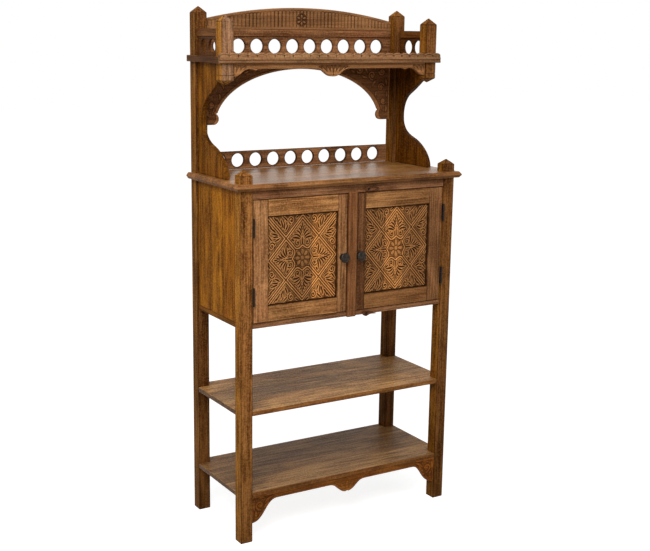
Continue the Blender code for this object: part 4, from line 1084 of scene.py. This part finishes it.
# Valance
# A shaped rail under the front of the upper shelf, with a bracket at each end and a leaf drop in the middle.
# The drop is carved as two leaves that part in a V, the brackets with a leaf and a small lobe.
VALANCE_BAND = 0.018
VALANCE_BRACKET = (0.062, 0.044)
VALANCE_CENTRE = (0.068, 0.045)
VALANCE_LOBE = (0.004, 0.300, 0.008)  # drop, place from the middle and half width of a small lobe
VALANCE_CARVING = 0.0024
valance_low, valance_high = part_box("front_valance")
valance_edge = shaped_edge(valance_high.x, valance_high.z, VALANCE_BAND, VALANCE_BRACKET, VALANCE_CENTRE)
# Drawn in millimetres like those of the apron
valance_drop = [
    leaf((2, 43), (9, 28), (6, 8), 4.4),
    leaf((4, 43), (17, 34), (26, 10), 5.2),
    leaf((9, 42), (30, 36), (46, 12), 5.0),
    leaf((24, 36), (44, 26), (60, 12), 3.4),
]
valance_brackets = [
    leaf((5, 41), (10, 24), (6, 6), 4.8),
    leaf((9, 40), (24, 28), (24, 6), 4.8),
    leaf((14, 37), (34, 24), (46, 8), 4.4),
]


def valance_foot(x):
    """Height of the lower edge, with a small lobe beside each bracket."""
    drop, place, half = VALANCE_LOBE
    return valance_edge(x) - drop * bell(np.abs(x) - place, half)


def valance_relief(x, z, u):
    """Leaves in the drop and brackets, rubbed lower edge."""
    away = (z - valance_edge(x)) * EDGE_LEAN
    below, inward = valance_high.z - z, valance_high.x - np.abs(x)
    field = step(0.002, 0.0035, away) * step(0.004, 0.006, below) * step(0.001, 0.003, inward)
    drop = field * step(0.062, 0.056, np.abs(x))
    bracket = field * step(0.054, 0.048, inward)
    lobes, lobe_shade = raised(np.abs(x), below, valance_drop)
    leaves, leaf_shade = raised(inward, below, valance_brackets)
    cut = np.maximum(drop * (1 - lobes), bracket * (1 - leaves))
    sink = VALANCE_CARVING * cut * (1 + UNEVEN * hand(x, z)) + rounding(away)
    return sink, np.maximum(0.75 * drop * lobe_shade, 0.5 * bracket * leaf_shade)


valance_wood = waxed_wood("valance_wood", "X", (150, 103, 62), crown=0.20)
valance_place = between(valance_low, valance_high, valance_foot)
bm = carved_board(APRON_COLUMNS, APRON_ROWS, valance_place, valance_low.y, valance_high.y, valance_relief)
settle(bm, "carved", "front_valance", valance_wood, 0.45, crease=CARVED_CREASE)

# Upper galleries
# Pierced boards round the back and sides of the upper shelf, each with a moulded band along its top.
# The band is a bead over a flat, worked in one strip and nailed to the board.
UPPER_HOLE = (0.025, 0.0715, 10)
SIDE_HOLE = (0.025, 0.061, 2)
BAND_HEIGHT = 0.026
HOLE_HEIGHT = 0.033                  # above the foot of the board
SHADED_BOARD = 0.4                   # figure of the boards at the sides, as a share of their bands', darker as painted shade
BAND_LIP = 0.0005
BAND_EASE = 0.0018
BACK_STEP = 0.004                    # from the face of a band to the face of its board
SIDE_STEP = 0.003


def band(bm, low, high, thin, front, back):
    """Add a moulded band along the top of a gallery, from front to back across it."""
    along = 1 - thin
    box_low, box_high = Vector(low), Vector(high)
    box_low[along] += BAND_LIP
    box_high[along] -= BAND_LIP
    box_low[thin], box_high[thin] = front, back
    box_low.z = high.z - BAND_HEIGHT
    box_high.z = high.z - BAND_LIP
    size = box_high - box_low
    place = Matrix.Translation((box_low + box_high) / 2) @ Matrix.Diagonal((*size, 1.0))
    made = bmesh.ops.create_cube(bm, size=1.0, matrix=place)["verts"]
    strip = list({edge for vert in made for edge in vert.link_edges})
    return ease(bm, BAND_EASE, clamp=True, edges=strip)


low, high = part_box("back_gallery")
bm = pierced(low + Vector((0, BACK_STEP, 0)), high, 1, UPPER_HOLE, low.z + HOLE_HEIGHT)
band(ease(bm, GALLERY_EASE), low, high, 1, low.y, high.y - BACK_STEP)
settle(bm, "bored", "back_gallery", gallery_wood, 0.42)
side_gallery_wood = waxed_wood("side_gallery_wood", "Y", (122, 76, 32), edge_wear_and_shade=-0.6)
for node, figure in (("left_side_gallery", 0.48), ("right_side_gallery", 0.30)):
    low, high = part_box(node)
    inset = Vector((SIDE_STEP, 0, 0))
    bm = pierced(low + inset, high - inset, 0, SIDE_HOLE, low.z + HOLE_HEIGHT, (low.y + high.y) / 2)
    ease(bm, GALLERY_EASE)
    band(bm, low, high, 0, low.x, high.x)
    glue_up(bm, 2, (high.z - BAND_HEIGHT,), (SHADED_BOARD * figure, figure))
    settle(bm, "bored", node, side_gallery_wood)

# Crest
# A low arched board on top of the back gallery, carved with upright reeds inside a plain border.
# A six-petalled rosette on a sunk round ground is carved in the middle.
REED_PITCH = 0.0145
CREST_CARVING = 0.0024
CREST_BORDER = (0.0045, 0.0085)      # below and above the reeds
CREST_END = 0.031
CREST_SEAT = 0.0005                  # how far the crest is bedded in the gallery below it
ROSETTE = (0.0225, 0.032)            # radius, height of its middle above the foot of the crest
CREST_COLUMNS = 600
CREST_ROWS = 44
crest_low, crest_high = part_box("arched_crest")
crest_rise = crest_high.z - crest_low.z - CREST_END
crest_radius = (crest_high.x ** 2 + crest_rise ** 2) / (2 * crest_rise)
crest_petals = [[(reach * math.cos(turn), reach * math.sin(turn), width)
                 for reach, width in ((5.0, 0.9), (9.0, 3.0), (13.0, 4.6), (16.0, 3.6))]
                for turn in (math.tau * (index + 0.5) / 6 for index in range(6))]
crest_petals.append([(0, 0, 3.0), (0, 0.1, 3.0)])


def crest_top(x):
    """Height of the arched top edge."""
    return crest_high.z - crest_radius + np.sqrt(crest_radius ** 2 - x * x)


def crest_relief(x, z, u):
    """Reeds between the borders, and the rosette."""
    away = crest_top(x) - z
    up = z - crest_low.z
    share = np.mod(x / REED_PITCH + 0.5 + 0.10 * np.sin(37 * x), 1.0) * 2 - 1
    ends = step(0, 0.003, away - CREST_BORDER[1]) * step(0, 0.003, up - CREST_BORDER[0])
    top_line = bell(away - CREST_BORDER[1] - 0.0012 - 0.002 * share ** 4, 0.0012)
    reeds = np.maximum(np.abs(share) ** 3.5 * ends, 0.7 * top_line) * (0.75 + 0.25 * np.sin(61 * x + 1))
    disc = step(ROSETTE[0] + 0.0008, ROSETTE[0] - 0.0008, np.hypot(x, up - ROSETTE[1]))
    flower = raised(x, up - ROSETTE[1], crest_petals)[0]
    cut = disc * (1 - flower) + (1 - disc) * reeds
    return CREST_CARVING * cut * (1 + 0.12 * hand(2 * x, z)) + rounding(away), 0.95 * cut


crest_wood = waxed_wood("crest_wood", "X", (128, 89, 55), crown=0.20)
crest_place = between(crest_low, crest_high, lambda x: crest_low.z - CREST_SEAT, crest_top)
bm = carved_board(CREST_COLUMNS, CREST_ROWS, crest_place, crest_low.y, crest_high.y, crest_relief)
settle(bm, "carved", "arched_crest", crest_wood, 0.45, crease=CARVED_CREASE)

# Studio
# A pale floor, one white surround and three soft lamps, as in a plain catalogue photograph.
# The floor keeps the shadow; to the camera it and the surround read white.
FLOOR_SIZE = 40.0
FLOOR_GLOW = 0.84                    # added to the floor where it is seen
SURROUND_LIGHT = 0.30                # strength that lights the piece; where it is seen, it is 1
# Name, place, width and power
LAMPS = (("key", (-2.4, -2.5, 3.4), 2.0, 130.0),
         ("fill", (2.4, -3.4, 2.6), 2.4, 24.0),
         ("top", (-0.2, -0.8, 3.9), 2.0, 30.0))
LAMP_AIM = Vector((0, 0, 0.95))
scene = bpy.context.scene
scene.view_settings.view_transform = "Standard"


def seen(tree):
    """1 for rays that see the surround itself, straight, in gloss or through glass, and 0 for its light."""
    rays = add(tree, "LightPath").outputs
    direct = reckon(tree, "MAXIMUM", rays["Is Camera Ray"], rays["Is Glossy Ray"])
    return reckon(tree, "MAXIMUM", direct, rays["Is Transmission Ray"])


bm = bmesh.new()
bmesh.ops.create_grid(bm, x_segments=1, y_segments=1, size=FLOOR_SIZE / 2)
mesh = bpy.data.meshes.new("floor")
bm.to_mesh(mesh)
bm.free()
floor_finish, tree, shader = finish("floor_finish")
shader.inputs["Base Color"].default_value = (0.50, 0.50, 0.50, 1)
shader.inputs["Roughness"].default_value = 0.9
shader.inputs["Emission Color"].default_value = (1, 1, 1, 1)
feed(tree, shader.inputs["Emission Strength"], reckon(tree, "MULTIPLY", seen(tree), FLOOR_GLOW))
mesh.materials.append(floor_finish)
floor = bpy.data.objects.new("floor", mesh)
scene.collection.objects.link(floor)

world = bpy.data.worlds.new("surround")
scene.world = world
world.use_nodes = True
tree = world.node_tree
background = tree.nodes["Background"]
background.inputs["Color"].default_value = (1, 1, 1, 1)
feed(tree, background.inputs["Strength"], spread(tree, seen(tree), 0.0, 1.0, SURROUND_LIGHT, 1.0))

for name, place, size, power in LAMPS:
    lamp = bpy.data.lights.new(name, "AREA")
    lamp.shape = "SQUARE"
    lamp.size = size
    lamp.energy = power
    holder = bpy.data.objects.new(name, lamp)
    holder.location = place
    holder.rotation_euler = (LAMP_AIM - Vector(place)).to_track_quat("-Z", "Y").to_euler()
    scene.collection.objects.link(holder)

# Camera
# The photograph's viewpoint: to the left of the piece and a little above the counter.
CAMERA_PLACE = (-2.0943, -3.4280, 1.7344)
CAMERA_TURN = (-31.43, -12.20, 0.84)     # yaw, pitch and roll in degrees
CAMERA_LENS = 63.53
camera = bpy.data.cameras.new("camera")
camera.sensor_fit = "HORIZONTAL"
camera.sensor_width = 36.0
camera.lens = CAMERA_LENS
eye = bpy.data.objects.new("camera", camera)
yaw, pitch, roll = (math.radians(angle) for angle in CAMERA_TURN)
aim = Matrix.Rotation(yaw, 4, "Z") @ Matrix.Rotation(math.pi / 2 + pitch, 4, "X")
eye.matrix_world = Matrix.Translation(CAMERA_PLACE) @ aim @ Matrix.Rotation(roll, 4, "Z")
scene.collection.objects.link(eye)
scene.camera = eye

bpy.context.view_layer.update()
